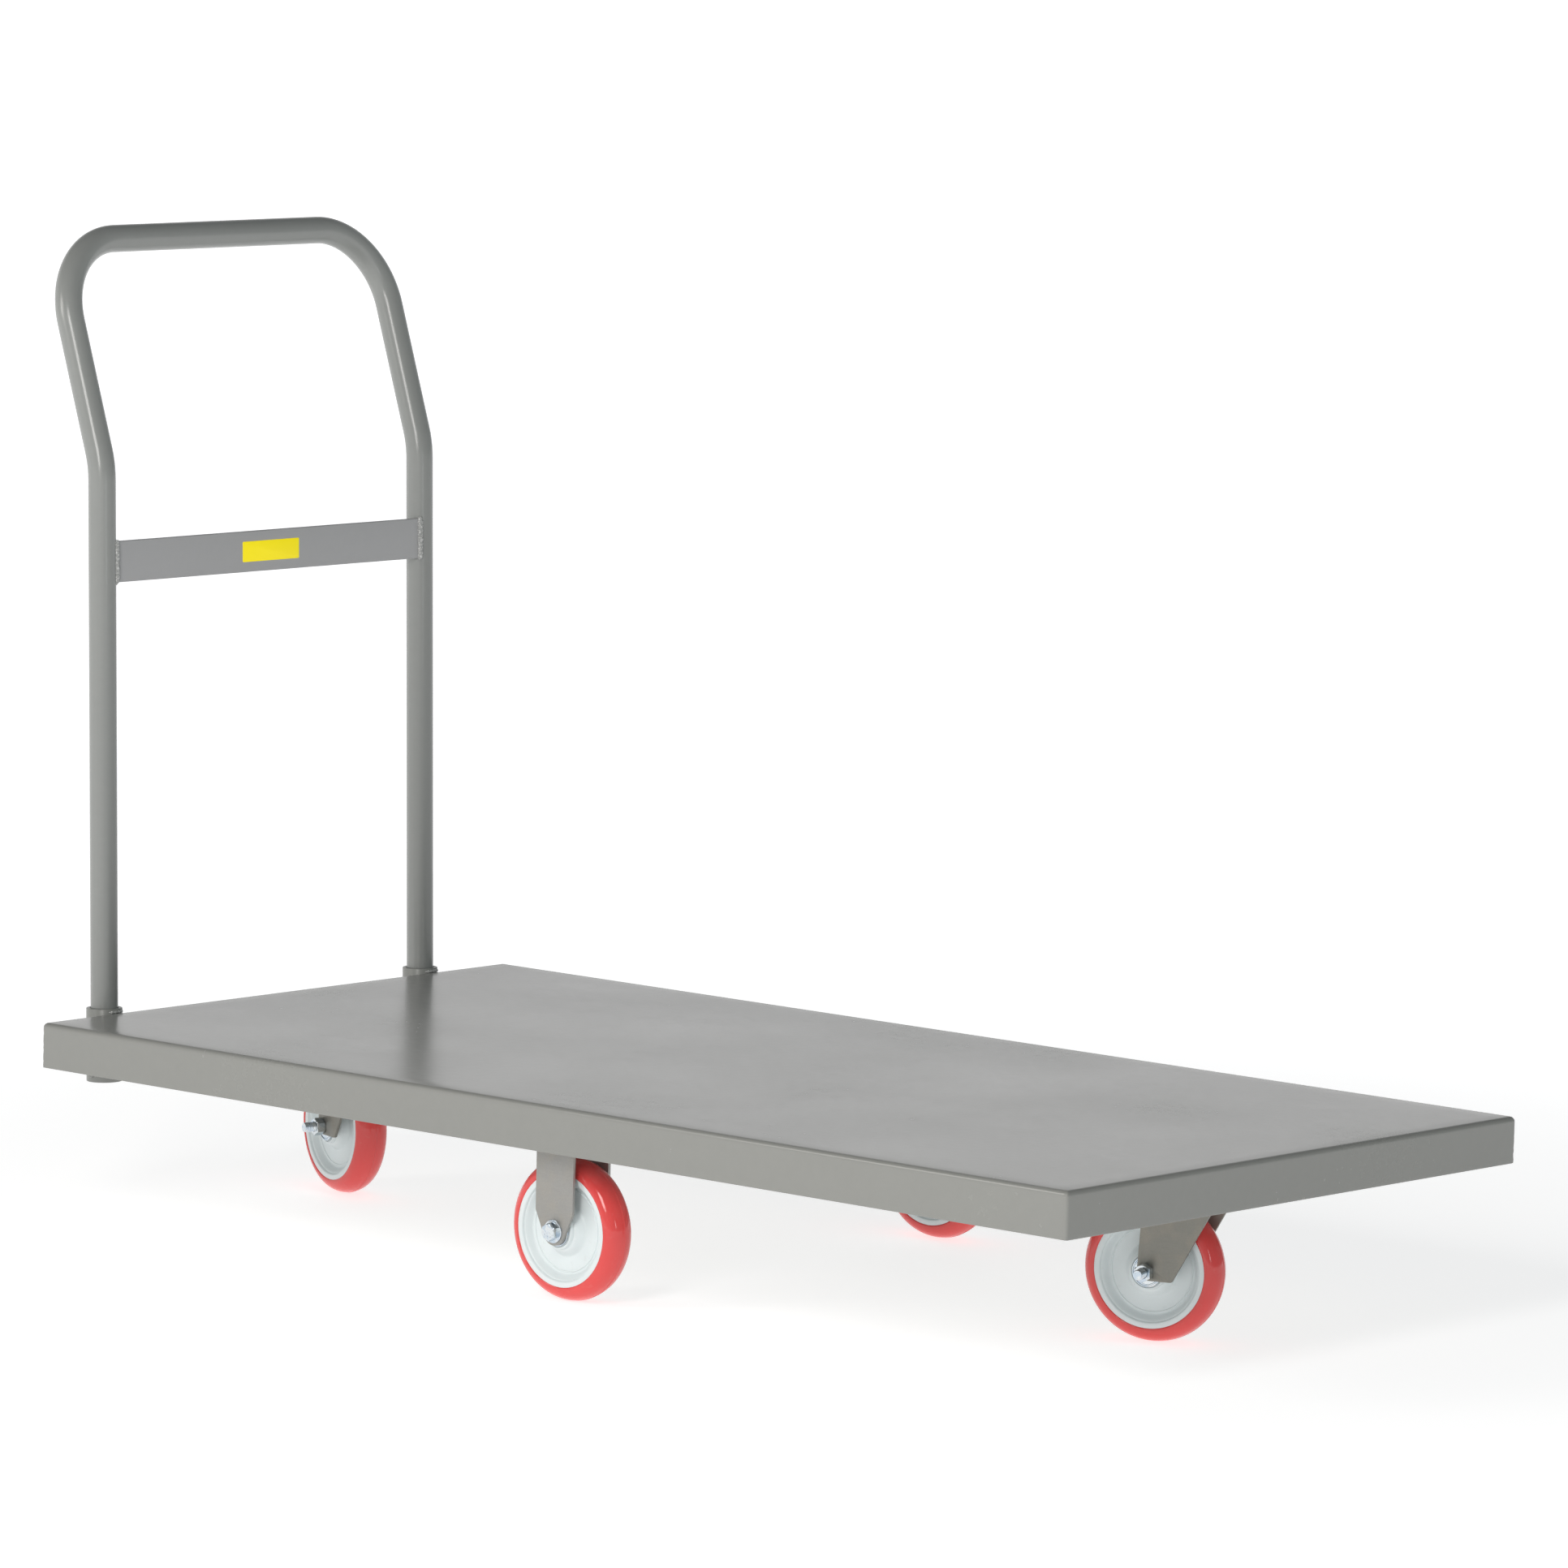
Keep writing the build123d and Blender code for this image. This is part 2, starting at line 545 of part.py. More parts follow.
def cross_brace():
    """Flat bar between the posts, its ends coped to the tubes."""
    bar = Pos(BRACE_FACE_OFFSET, 0, BRACE_MIDDLE) * Box(
        BRACE_THICKNESS, POST_SPACING, BRACE_HEIGHT, align=(Align.MAX, Align.CENTER, Align.CENTER))
    for post in post_rods():
        bar = bar - post
    return LEAN_BACK * bar


def brace_welds():
    """Beads that join the bar's ends to the posts, front and back."""
    half = POST_SPACING / 2
    bar = Box(BRACE_THICKNESS, POST_SPACING, BRACE_HEIGHT, align=(Align.MAX, Align.CENTER, Align.CENTER))
    bar = Pos(BRACE_FACE_OFFSET, 0, BRACE_MIDDLE) * bar
    welds = []
    for face_x in (BRACE_FACE_OFFSET, BRACE_FACE_OFFSET - BRACE_THICKNESS):
        reach = half - math.sqrt((TUBE_DIAMETER / 2) ** 2 - face_x ** 2)
        for y_sign, post in zip((-1, 1), post_rods()):
            bead = rod(BRACE_WELD_RADIUS, -BRACE_HEIGHT / 2, BRACE_HEIGHT / 2)
            bead = Pos(face_x, y_sign * reach, BRACE_MIDDLE) * bead
            pieces = (bead - post - bar).solids()
            welds.append(LEAN_BACK * pieces.sort_by(SortBy.VOLUME)[-1])
    return welds


def blank_label():
    """Thin plain label on the front of the cross brace."""
    label = extrude(RectangleRounded(LABEL_LENGTH, LABEL_HEIGHT, LABEL_CORNER), LABEL_THICKNESS)
    bar_face = Plane(origin=(BRACE_FACE_OFFSET, 0, BRACE_MIDDLE), x_dir=(0, 1, 0), z_dir=(1, 0, 0))
    return LEAN_BACK * (bar_face * label)


def stop_pin_height():
    return -SOCKET_BELOW_DECK + STOP_PIN_ABOVE_END


def handle_socket(y_sign):
    """Pipe socket on the rear lip, drilled for its stop pin."""
    pipe = tube(SOCKET_RADIUS, SOCKET_INNER_RADIUS, -SOCKET_BELOW_DECK, SOCKET_ABOVE_DECK)
    hole = ALONG_Y * rod(STOP_PIN_DIAMETER / 2, -2 * SOCKET_RADIUS, 2 * SOCKET_RADIUS)
    pipe = pipe - Pos(0, 0, stop_pin_height()) * hole
    return LEAN_BACK * Pos(0, y_sign * POST_SPACING / 2, 0) * pipe


def stop_pin(y_sign):
    """Pin across the socket that the handle's post rests on."""
    half_length = SOCKET_RADIUS + STOP_PIN_PROUD
    pin = ALONG_Y * rod(STOP_PIN_DIAMETER / 2, -half_length, half_length)
    pin = Pos(0, 0, stop_pin_height()) * pin
    return LEAN_BACK * Pos(0, y_sign * POST_SPACING / 2, 0) * pin


def socket_welds(y_sign):
    """Two upright fillet welds between a socket and the rear lip."""
    pipe = rod(SOCKET_RADIUS, -SOCKET_BELOW_DECK, SOCKET_ABOVE_DECK)
    pipe = LEAN_BACK * Pos(0, y_sign * POST_SPACING / 2, 0) * pipe
    top = DECK_TOP - FOLD_RADIUS - SOCKET_WELD_END_GAP
    bottom = DECK_TOP - LIP_HEIGHT + SOCKET_WELD_END_GAP
    # a bead this far aside would just touch the pipe; half its radius nearer, it bites in
    spread = math.sqrt((SOCKET_RADIUS + SOCKET_WELD_RADIUS) ** 2 - SOCKET_RADIUS ** 2)
    deck = Pos(DECK_REAR, 0, 0) * Box(
        DECK_LENGTH, DECK_WIDTH, 2 * DECK_TOP, align=(Align.MIN, Align.CENTER, Align.CENTER))
    welds = []
    for side in (-1, 1):
        y_position = y_sign * POST_SPACING / 2 + side * (spread - SOCKET_WELD_RADIUS / 2)
        bead = Pos(DECK_REAR, y_position, 0) * rod(SOCKET_WELD_RADIUS, bottom, top)
        pieces = (bead - pipe - deck).solids()
        welds.append(pieces.sort_by(SortBy.VOLUME)[-1])
    return welds


# ---------------------------------------------------------------- assembly
os.makedirs("parts", exist_ok=True)

RIGID_PLACES = {
    "right": Pos(DECK_MIDDLE, -RIGID_Y, 0),
    "left": Pos(DECK_MIDDLE, RIGID_Y, 0) * Rot(0, 0, 180),
}
SWIVEL_PLACES = {
    "front": (Pos(FRONT_PIVOT_X, 0, 0), FRONT_REST_ANGLE),
    "rear": (Pos(REAR_PIVOT_X, 0, 0), REAR_REST_ANGLE),
}

save("deck_pan", deck_pan())
save("middle_cross_channel", drill_channel(cross_channel(DECK_MIDDLE), RIGID_PLACES.values()))
save("front_cross_channel", drill_channel(cross_channel(FRONT_PIVOT_X), [SWIVEL_PLACES["front"][0]]))
save("rear_cross_channel", drill_channel(cross_channel(REAR_PIVOT_X), [SWIVEL_PLACES["rear"][0]]))
channel_places = (REAR_PIVOT_X, DECK_MIDDLE, FRONT_PIVOT_X)
save("channel_stitch_welds", [weld for x in channel_places for weld in stitch_welds(x)])

caster_places = list(RIGID_PLACES.values()) + [place for place, _ in SWIVEL_PLACES.values()]
save("caster_mount_bolts", at_mount_points(mount_bolt(), caster_places))
save("caster_mount_nuts", at_mount_points(mount_nut(), caster_places))

# wheel pieces are drawn along Z about the wheel's centre, then laid along Y;
# the bolt head ends up on the -Y side and the nut on the +Y side
wheel_up = Pos(0, 0, WHEEL_RADIUS)
HUB, TYRE, BEARING = wheel_hub(), wheel_tyre(), roller_bearing()


def save_wheel(name, place):
    save(f"{name}_hub", place * HUB)
    save(f"{name}_tyre", place * TYRE)
    save(f"{name}_roller_bearing", [place * piece for piece in BEARING])


rigid_axles = []
for name, place in RIGID_PLACES.items():
    save(f"{name}_rigid_plate", place * mounting_plate())
    save(f"{name}_rigid_fork", place * rigid_fork())
    rigid_axles.append(place * wheel_up * ALONG_Y)
    save_wheel(name, rigid_axles[-1])

# the rigid casters have a washer under the nut too, the swivel casters only under the head
HEAD_WASHER_FACE = -LEG_OUTER - BOLT_WASHER_THICKNESS
RIGID_NUT_SEAT = LEG_OUTER + BOLT_WASHER_THICKNESS
rigid_washers = [bolt_washer(HEAD_WASHER_FACE), bolt_washer(LEG_OUTER)]
save("rigid_axle_bolts", [axle * axle_bolt(RIGID_NUT_SEAT) for axle in rigid_axles])
save("rigid_axle_nuts", [axle * axle_nut(RIGID_NUT_SEAT) for axle in rigid_axles])
save("rigid_span_bushings", [axle * span_bushing() for axle in rigid_axles])
save("rigid_thrust_washers", [axle * washer for axle in rigid_axles for washer in thrust_washers()])
save("rigid_bolt_washers", [axle * washer for axle in rigid_axles for washer in rigid_washers])

for name, (place, rest_angle) in SWIVEL_PLACES.items():
    upper_height = PLATE_UNDERSIDE - UPPER_GAP / 2
    lower_height = CROWN_BOTTOM - LOWER_GAP / 2
    save(f"{name}_swivel_plate", place * swivel_plate())
    save(f"{name}_upper_balls", [place * ball for ball in
                                 ball_ring(UPPER_RACE_RADIUS, UPPER_BALL_DIAMETER, upper_height)])
    save(f"{name}_lower_balls", [place * ball for ball in
                                 ball_ring(LOWER_RACE_RADIUS, LOWER_BALL_DIAMETER, lower_height)])
    save(f"{name}_lower_race", place * lower_race())
    save(f"{name}_kingpin_nut", place * kingpin_nut())
    turned = place * Rot(0, 0, rest_angle)
    # half a turn about Z puts the nut on the -Y side of the swivel casters
    axle = turned * Pos(-SWIVEL_TRAIL, 0, 0) * wheel_up * Rot(0, 0, 180) * ALONG_Y
    save(f"{name}_yoke", turned * swivel_yoke())
    save(f"{name}_axle_bolt", axle * axle_bolt(LEG_OUTER))
    save(f"{name}_axle_nut", axle * axle_nut(LEG_OUTER))
    save(f"{name}_span_bushing", axle * span_bushing())
    save(f"{name}_thrust_washers", [axle * washer for washer in thrust_washers()])
    save(f"{name}_bolt_washer", axle * bolt_washer(HEAD_WASHER_FACE))
    save_wheel(name, axle)

save("handle_tube", handle_tube())
save("handle_cross_brace", cross_brace())
save("cross_brace_welds", brace_welds())
save("blank_label", blank_label())
save("right_handle_socket", handle_socket(-1))
save("left_handle_socket", handle_socket(1))
save("handle_stop_pins", [stop_pin(-1), stop_pin(1)])
save("socket_welds", socket_welds(-1) + socket_welds(1))
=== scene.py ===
# %% [markdown]
# # Flatbed platform truck
# A steel platform truck: a folded sheet deck on four casters, with a bent tube
# handle standing in two pipe sockets. The engineering model is loaded first and is
# never moved. Every piece made here is placed from its boxes and its joints, in
# metres, with +X towards the open end, +Y to the left side and +Z up.

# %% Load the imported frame
import json
import math

import bmesh
import bpy
from mathutils import Matrix, Vector, noise


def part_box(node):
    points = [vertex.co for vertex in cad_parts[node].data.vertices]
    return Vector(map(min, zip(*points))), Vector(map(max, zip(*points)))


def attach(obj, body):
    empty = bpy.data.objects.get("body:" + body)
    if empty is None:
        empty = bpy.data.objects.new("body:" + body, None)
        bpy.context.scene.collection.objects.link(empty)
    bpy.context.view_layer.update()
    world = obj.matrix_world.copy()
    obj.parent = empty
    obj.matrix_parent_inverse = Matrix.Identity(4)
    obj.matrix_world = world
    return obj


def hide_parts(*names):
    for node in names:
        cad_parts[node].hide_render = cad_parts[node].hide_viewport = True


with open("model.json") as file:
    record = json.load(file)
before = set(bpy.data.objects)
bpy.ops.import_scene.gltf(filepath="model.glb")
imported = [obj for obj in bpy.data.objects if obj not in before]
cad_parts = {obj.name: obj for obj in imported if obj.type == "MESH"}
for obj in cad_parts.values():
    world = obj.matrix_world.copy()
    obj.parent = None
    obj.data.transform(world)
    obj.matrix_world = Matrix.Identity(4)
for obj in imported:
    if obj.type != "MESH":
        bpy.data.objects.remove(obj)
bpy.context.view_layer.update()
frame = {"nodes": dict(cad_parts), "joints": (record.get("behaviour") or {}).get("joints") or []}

JOINTS = {joint["name"]: joint for joint in frame["joints"]}
MM = 0.001
print("nodes:", len(frame["nodes"]))

# %% [markdown]
# ## Node graphs written as arithmetic
# Materials and Geometry Nodes are both graphs. Writing every Math node by hand is
# slow to read, so a small class wraps a socket and lets Python's own + - * /
# add the node. Everything else comes from one method, `add`.


# %% A socket that Python can do sums with
class Signal:
    """One output of a node. Arithmetic on it adds Math nodes to its graph."""

    def __init__(self, graph, socket):
        self.graph = graph
        self.socket = socket

    def _sum(self, operation, first, second):
        return self.graph.add("ShaderNodeMath", {"operation": operation}, {0: first, 1: second})

    def __add__(self, other):
        return self._sum("ADD", self, other)

    def __sub__(self, other):
        return self._sum("SUBTRACT", self, other)

    def __rsub__(self, other):
        return self._sum("SUBTRACT", other, self)

    def __mul__(self, other):
        return self._sum("MULTIPLY", self, other)

    def __truediv__(self, other):
        return self._sum("DIVIDE", self, other)

    def __rtruediv__(self, other):
        return self._sum("DIVIDE", other, self)

    __radd__ = __add__
    __rmul__ = __mul__


# %% A graph of nodes
class Graph:
    """A node tree being built, for a material or for Geometry Nodes."""

    def __init__(self, tree):
        self.tree = tree
        tree.nodes.clear()

    def add(self, kind, settings=None, inputs=None, out=0):
        node = self.tree.nodes.new(kind)
        for name, value in (settings or {}).items():
            if name == "captures":
                for kept in value:
                    node.capture_items.new("FLOAT", kept)
            else:
                setattr(node, name, value)
        for key, value in (inputs or {}).items():
            if isinstance(value, Signal):
                self.tree.links.new(value.socket, node.inputs[key])
            else:
                node.inputs[key].default_value = value
        return Signal(self, node.outputs[out]) if len(node.outputs) else node

    def beside(self, signal, out):
        """Another output of the node that a signal comes from."""
        return Signal(self, signal.socket.node.outputs[out])


# %% [markdown]
# ## Camera
# A long lens far away, almost level with the handle, looking along the near front
# corner. A long lens keeps parallel edges nearly parallel. The camera is also
# turned a little about its own line of sight, as a hand-levelled tripod often is.

# %% Camera
CAMERA_AZIMUTH = math.radians(41.57)
CAMERA_ELEVATION = math.radians(6.90)
CAMERA_ROLL = math.radians(1.32)
CAMERA_PLACE = Vector((5.4059, -6.0138, 1.4105))
CAMERA_LENS = 209.45

level = math.cos(CAMERA_ELEVATION)
backwards = Vector((math.sin(CAMERA_AZIMUTH) * level, -math.cos(CAMERA_AZIMUTH) * level,
                    math.sin(CAMERA_ELEVATION)))
rightwards = Vector((math.cos(CAMERA_AZIMUTH), math.sin(CAMERA_AZIMUTH), 0))
upwards = backwards.cross(rightwards)
turn = Matrix((rightwards, upwards, backwards)).transposed() @ Matrix.Rotation(CAMERA_ROLL, 3, "Z")

camera_data = bpy.data.cameras.new("truck_camera")
camera_data.lens = CAMERA_LENS
camera_data.sensor_width = 36
camera_data.clip_end = 500
camera = bpy.data.objects.new("truck_camera", camera_data)
camera.matrix_world = Matrix.Translation(CAMERA_PLACE) @ turn.to_4x4()
bpy.context.scene.collection.objects.link(camera)
bpy.context.scene.camera = camera
print("camera at", [round(v, 3) for v in camera.location], "lens", CAMERA_LENS)

# %% [markdown]
# ## Studio
# A pale sweep, a tall warm softbox in front, a second one to the left, and a low
# strip at the right. The wall behind the truck is white, the room is dimmer in front
# and at the right and dark overhead, so the flat deck mirrors a bright wall while
# folds and tubes show dark lines. The floor glows, more with distance, which is how
# a lit sweep turns white.

# %% Sky
WALL_GLOW = (1.0, 1.0, 1.0)
CEILING_GLOW = (0.13, 0.14, 0.145)
DIM_SIDE = (0.28, 0.32, 0.325)
DIM_DIRECTION = (0.88, 0.47, 0.0)
DIM_FRONT = (0.55, 0.55, 0.55)
FRONT_DIRECTION = (0.2, -0.98, 0.0)


def paint_sky():
    world = bpy.data.worlds.new("studio")
    world.use_nodes = True
    graph = Graph(world.node_tree)
    direction = graph.add("ShaderNodeTexCoord", out="Generated")
    height = graph.add("ShaderNodeSeparateXYZ", inputs={0: direction}, out="Z")
    rise = graph.add("ShaderNodeMapRange", {"interpolation_type": "SMOOTHSTEP"},
                     {"Value": height, "From Min": 0.16, "From Max": 0.66})
    wall = (*WALL_GLOW, 1)
    for towards, tone in ((FRONT_DIRECTION, DIM_FRONT), (DIM_DIRECTION, DIM_SIDE)):
        aside = graph.add("ShaderNodeVectorMath", {"operation": "DOT_PRODUCT"}, {0: direction, 1: towards},
                          out="Value")
        turned = graph.add("ShaderNodeMapRange", {"interpolation_type": "SMOOTHSTEP"},
                           {"Value": aside, "From Min": 0.05, "From Max": 0.75})
        wall = graph.add("ShaderNodeMix", {"data_type": "RGBA"}, {0: turned, 6: wall, 7: (*tone, 1)}, out=2)
    glow = graph.add("ShaderNodeMix", {"data_type": "RGBA"}, {0: rise, 6: wall, 7: (*CEILING_GLOW, 1)}, out=2)
    shade = graph.add("ShaderNodeBackground", inputs={0: glow, 1: 1.0})
    graph.add("ShaderNodeOutputWorld", inputs={0: shade})
    bpy.context.scene.world = world


paint_sky()
bpy.context.scene.view_settings.view_transform = "Standard"


# %% Softboxes and floor
def softbox(name, place, target, size, watts, tint=(1, 1, 1)):
    data = bpy.data.lights.new(name, "AREA")
    data.shape = "RECTANGLE"
    data.size, data.size_y = size
    data.energy = watts
    data.color = tint
    lamp = bpy.data.objects.new(name, data)
    lamp.location = place
    lamp.rotation_euler = (Vector(target) - Vector(place)).to_track_quat("-Z", "Y").to_euler()
    bpy.context.scene.collection.objects.link(lamp)
    print(name, "aims from", place)


softbox("front_softbox", (0.95, -2.75, 1.65), (0.1, -0.1, 0.25), (0.8, 1.4), 36, (1.0, 0.975, 0.95))
softbox("left_softbox", (-1.7, -2.9, 1.7), (0.0, -0.1, 0.25), (1.1, 1.1), 22, (1.0, 0.97, 0.93))
softbox("right_strip", (3.0, -0.9, 0.55), (0.5, 0.0, 0.1), (0.25, 0.5), 2.2, (0.94, 0.98, 1.0))

FLOOR_HALF = 60.0
floor_mesh = bpy.data.meshes.new("studio_floor")
floor_mesh.from_pydata([(x * FLOOR_HALF, y * FLOOR_HALF, 0) for x, y in ((-1, -1), (1, -1), (1, 1), (-1, 1))],
                       [], [(0, 1, 2, 3)])
floor = bpy.data.objects.new("studio_floor", floor_mesh)
bpy.context.scene.collection.objects.link(floor)


# %% [markdown]
# ## Finishes
# Each finish is a function of a few plain numbers. Patterns are read from Object
# coordinates, which are the truck's own metres, so a noise scale of 500 means a
# grain of about two millimetres. Only colour, roughness, metal, coat and bump vary
# over a surface.


# %% A finish being mixed
class Finish(Graph):
    """A material with a Principled shader, filled in by paint()."""

    def __init__(self, name):
        self.material = bpy.data.materials.new(name)
        self.material.use_nodes = True
        super().__init__(self.material.node_tree)
        self.where = self.add("ShaderNodeTexCoord", out="Object")

    def noise(self, scale, detail=2.0, stretch=(1, 1, 1)):
        """Noise from 0 to 1 with an even mean, its grain stretched along an axis if asked."""
        place = self.where
        if stretch != (1, 1, 1):
            place = self.add("ShaderNodeMapping", inputs={"Vector": self.where, "Scale": stretch})
        return self.add("ShaderNodeTexNoise", inputs={"Vector": place, "Scale": scale, "Detail": detail})

    def above(self, signal, low, high):
        """0 below low, 1 above high, smooth between."""
        return self.add("ShaderNodeMapRange", {"interpolation_type": "SMOOTHSTEP"},
                        {"Value": signal, "From Min": low, "From Max": high})

    def blend(self, amount, first, second, mode="MIX"):
        """One colour over another by an amount. A number stands for a grey."""
        pair = [value if isinstance(value, Signal) else (*value, 1) for value in (first, second)]
        return self.add("ShaderNodeMix", {"data_type": "RGBA", "blend_type": mode},
                        {0: amount, 6: pair[0], 7: pair[1]}, out=2)

    def bump(self, height, distance, under=None):
        inputs = {"Height": height, "Distance": distance, "Strength": 1.0}
        if under is not None:
            inputs["Normal"] = under
        return self.add("ShaderNodeBump", inputs=inputs)

    def paint(self, **sockets):
        """Set the shader's sockets, given by name with _ for a space."""
        inputs = {}
        for name, value in sockets.items():
            if isinstance(value, tuple) and len(value) == 3 and name.endswith("Color"):
                value = (*value, 1)
            inputs[name.replace("_", " ")] = value
        shader = self.add("ShaderNodeBsdfPrincipled", inputs=inputs)
        self.add("ShaderNodeOutputMaterial", inputs={0: shader})
        return self.material


# %% [markdown]
# ### Enamel
# The deck and handle are sprayed in grey enamel: even in colour, semi-gloss, with
# the faint orange peel that a spray gun leaves. The peel is a bump of two or three
# hundredths of a millimetre; slow clouds in colour and gloss stop large flats
# looking like plastic.


# %% Enamel
def enamel(name, colour, gloss_roughness, peel_depth, cloud_strength=0.06):
    finish = Finish(name)
    clouds = finish.noise(5.0, 3.0)
    mottle = finish.noise(120.0, 3.0)
    tone = 1.0 + (clouds - 0.5) * cloud_strength + (mottle - 0.5) * 0.05
    tinted = finish.blend(1.0, colour, tone, "MULTIPLY")
    peel = finish.bump(finish.noise(150.0, 2.0), peel_depth * 1.5)
    roughness = gloss_roughness + (clouds - 0.5) * 0.10 + (mottle - 0.5) * 0.06
    return finish.paint(Base_Color=tinted, Roughness=roughness, Normal=peel, IOR=1.52)


DECK_ENAMEL = enamel("deck_paint", (0.262, 0.264, 0.247), 0.25, 0.000012)
FRAME_ENAMEL = enamel("frame_paint", (0.24, 0.245, 0.23), 0.34, 0.00002)
HANDLE_ENAMEL = enamel("handle_paint", (0.262, 0.27, 0.26), 0.22, 0.00001)
BRACE_ENAMEL = enamel("brace_paint", (0.415, 0.415, 0.42), 0.50, 0.00002)


# %% Weld enamel with painted highlights
def weld_enamel(name, colour):
    """Paint over a weld bead: glossier, lumpier, with a painted highlight on its high spots."""
    finish = Finish(name)
    lumps = finish.noise(700.0, 3.0)
    # painted highlight: the bead's high spots are coloured near white, as if catching light
    ridge = finish.above(lumps, 0.50, 0.66)
    tinted = finish.blend(ridge * 0.75, colour, (0.78, 0.78, 0.77))
    rough = 0.16 + (finish.noise(300.0) - 0.5) * 0.14
    lumpy = finish.bump(lumps, 0.0004)
    return finish.paint(Base_Color=tinted, Roughness=rough, Normal=lumpy, Coat_Weight=ridge * 0.6)


WELD_ENAMEL = weld_enamel("weld_paint", (0.36, 0.365, 0.355))


# %% [markdown]
# ### Caster metal
# Caster forks are pressed from rolled sheet and dipped: dull, warm and mottled.
# The swivel yokes get a darker copy of the steel, painted shade for the deck's shadow.
# Bolts, nuts and washers are bright zinc with a cool, slightly iridescent cast.


# %% Caster steel, zinc and bearing steel
def pressed_steel(name, colour, warm, roughness):
    finish = Finish(name)
    blotches = finish.noise(55.0, 4.0)
    fine = finish.noise(900.0, 2.0)
    rolled = finish.noise(60.0, 2.0, (1.0, 1.0, 14.0))
    warmed = finish.blend(finish.above(blotches, 0.38, 0.66), colour, warm)
    tone = 1.0 + (fine - 0.5) * 0.16 + (rolled - 0.5) * 0.12
    tinted = finish.blend(1.0, warmed, tone, "MULTIPLY")
    rough = roughness + (blotches - 0.5) * 0.22 + (rolled - 0.5) * 0.10
    grain = finish.bump(fine * 0.6 + rolled * 0.4, 0.00003)
    return finish.paint(Base_Color=tinted, Metallic=0.55, Roughness=rough, Normal=grain)


def bright_zinc(name):
    finish = Finish(name)
    drift = finish.noise(160.0, 2.0)
    cool = finish.blend(finish.above(drift, 0.40, 0.62), (0.56, 0.64, 0.72), (0.72, 0.76, 0.78))
    dull = finish.blend(finish.above(finish.noise(700.0, 3.0), 0.56, 0.72) * 0.5, cool, (0.36, 0.40, 0.45))
    rough = 0.17 + (finish.noise(500.0) - 0.5) * 0.16
    return finish.paint(Base_Color=dull, Metallic=1.0, Roughness=rough,
                        Normal=finish.bump(finish.noise(1500.0), 0.00001))


def bearing_steel(name):
    finish = Finish(name)
    smear = finish.noise(220.0, 3.0)
    greased = finish.blend(finish.above(smear, 0.48, 0.70) * 0.7, (0.60, 0.61, 0.63), (0.30, 0.26, 0.18))
    rough = 0.16 + finish.above(smear, 0.40, 0.75) * 0.25
    return finish.paint(Base_Color=greased, Metallic=1.0, Roughness=rough)


CASTER_STEEL = pressed_steel("pressed_steel", (0.335, 0.33, 0.315), (0.36, 0.345, 0.315), 0.46)
ZINC = bright_zinc("bright_zinc")
# painted shade: the swivel yokes' steel is a darker copy of the fork steel, for the deck's shadow over them
SHADED_YOKE_STEEL = pressed_steel("pressed_yoke_steel", (0.235, 0.23, 0.205), (0.27, 0.255, 0.22), 0.44)
BEARING_STEEL = bearing_steel("polished_steel")


# %% [markdown]
# ### Wheel plastics
# The hub is a cool white moulding with a satin skin. The tread is cast
# polyurethane, a glossy saturated red that lets a little light in.


# %% Hub plastic, red tread, yellow label
def hub_plastic(name):
    finish = Finish(name)
    flow = finish.noise(40.0, 3.0)
    tinted = finish.blend(flow, (0.70, 0.765, 0.775), (0.76, 0.815, 0.82))
    grime = finish.above(finish.noise(120.0, 5.0), 0.60, 0.80)
    grubby = finish.blend(grime * 0.16, tinted, (0.50, 0.52, 0.50))
    rough = 0.42 + (finish.noise(260.0) - 0.5) * 0.14
    return finish.paint(Base_Color=grubby, Roughness=rough,
                        Normal=finish.bump(finish.noise(1600.0), 0.000012))


def red_tread(name):
    finish = Finish(name)
    depth = finish.noise(24.0, 2.0)
    tinted = finish.blend(depth, (0.69, 0.064, 0.062), (0.77, 0.082, 0.077))
    dust = finish.above(finish.noise(190.0, 5.0), 0.58, 0.80)
    dusty = finish.blend(dust * 0.10, tinted, (0.62, 0.30, 0.26))
    rough = 0.11 + (finish.noise(140.0, 3.0) - 0.5) * 0.08
    return finish.paint(Base_Color=dusty, Roughness=rough, Normal=finish.bump(finish.noise(500.0), 0.000012),
                        Subsurface_Weight=0.12, Subsurface_Scale=1.0,
                        Subsurface_Radius=(0.006, 0.0015, 0.001))


def glowing_yellow_vinyl(name):
    finish = Finish(name)
    print_grain = finish.noise(2600.0, 1.0)
    tinted = finish.blend(print_grain, (0.98, 0.80, 0.006), (1.0, 0.84, 0.012))
    rough = 0.42 + (finish.noise(300.0) - 0.5) * 0.15
    # painted glow: the label also emits its own colour, so it is brighter than the lamps make it
    return finish.paint(Base_Color=tinted, Roughness=rough, Normal=finish.bump(finish.noise(380.0), 0.00001),
                        Specular_IOR_Level=0.25,
                        Emission_Color=tinted, Emission_Strength=0.22)


HUB_PLASTIC = hub_plastic("white_plastic")
RED_TREAD = red_tread("cast_polyurethane")
GLOWING_YELLOW_VINYL = glowing_yellow_vinyl("glowing_yellow_vinyl")


# %% Floor finish
def floor_finish():
    finish = Finish("pale_floor")
    tone = finish.noise(1.2, 2.0)
    pale = finish.blend(tone, (0.62, 0.62, 0.62), (0.64, 0.64, 0.64))
    away = finish.add("ShaderNodeVectorMath", {"operation": "LENGTH"}, {0: finish.where}, out="Value")
    glow = finish.blend(finish.above(away, 0.7, 2.6), (0.70, 0.70, 0.70), (1.0, 1.0, 1.0))
    return finish.paint(Base_Color=pale, Roughness=0.85, Emission_Color=glow, Emission_Strength=1.0)


floor_mesh.materials.append(floor_finish())
print("finishes:", sorted(m.name for m in bpy.data.materials if m.users))
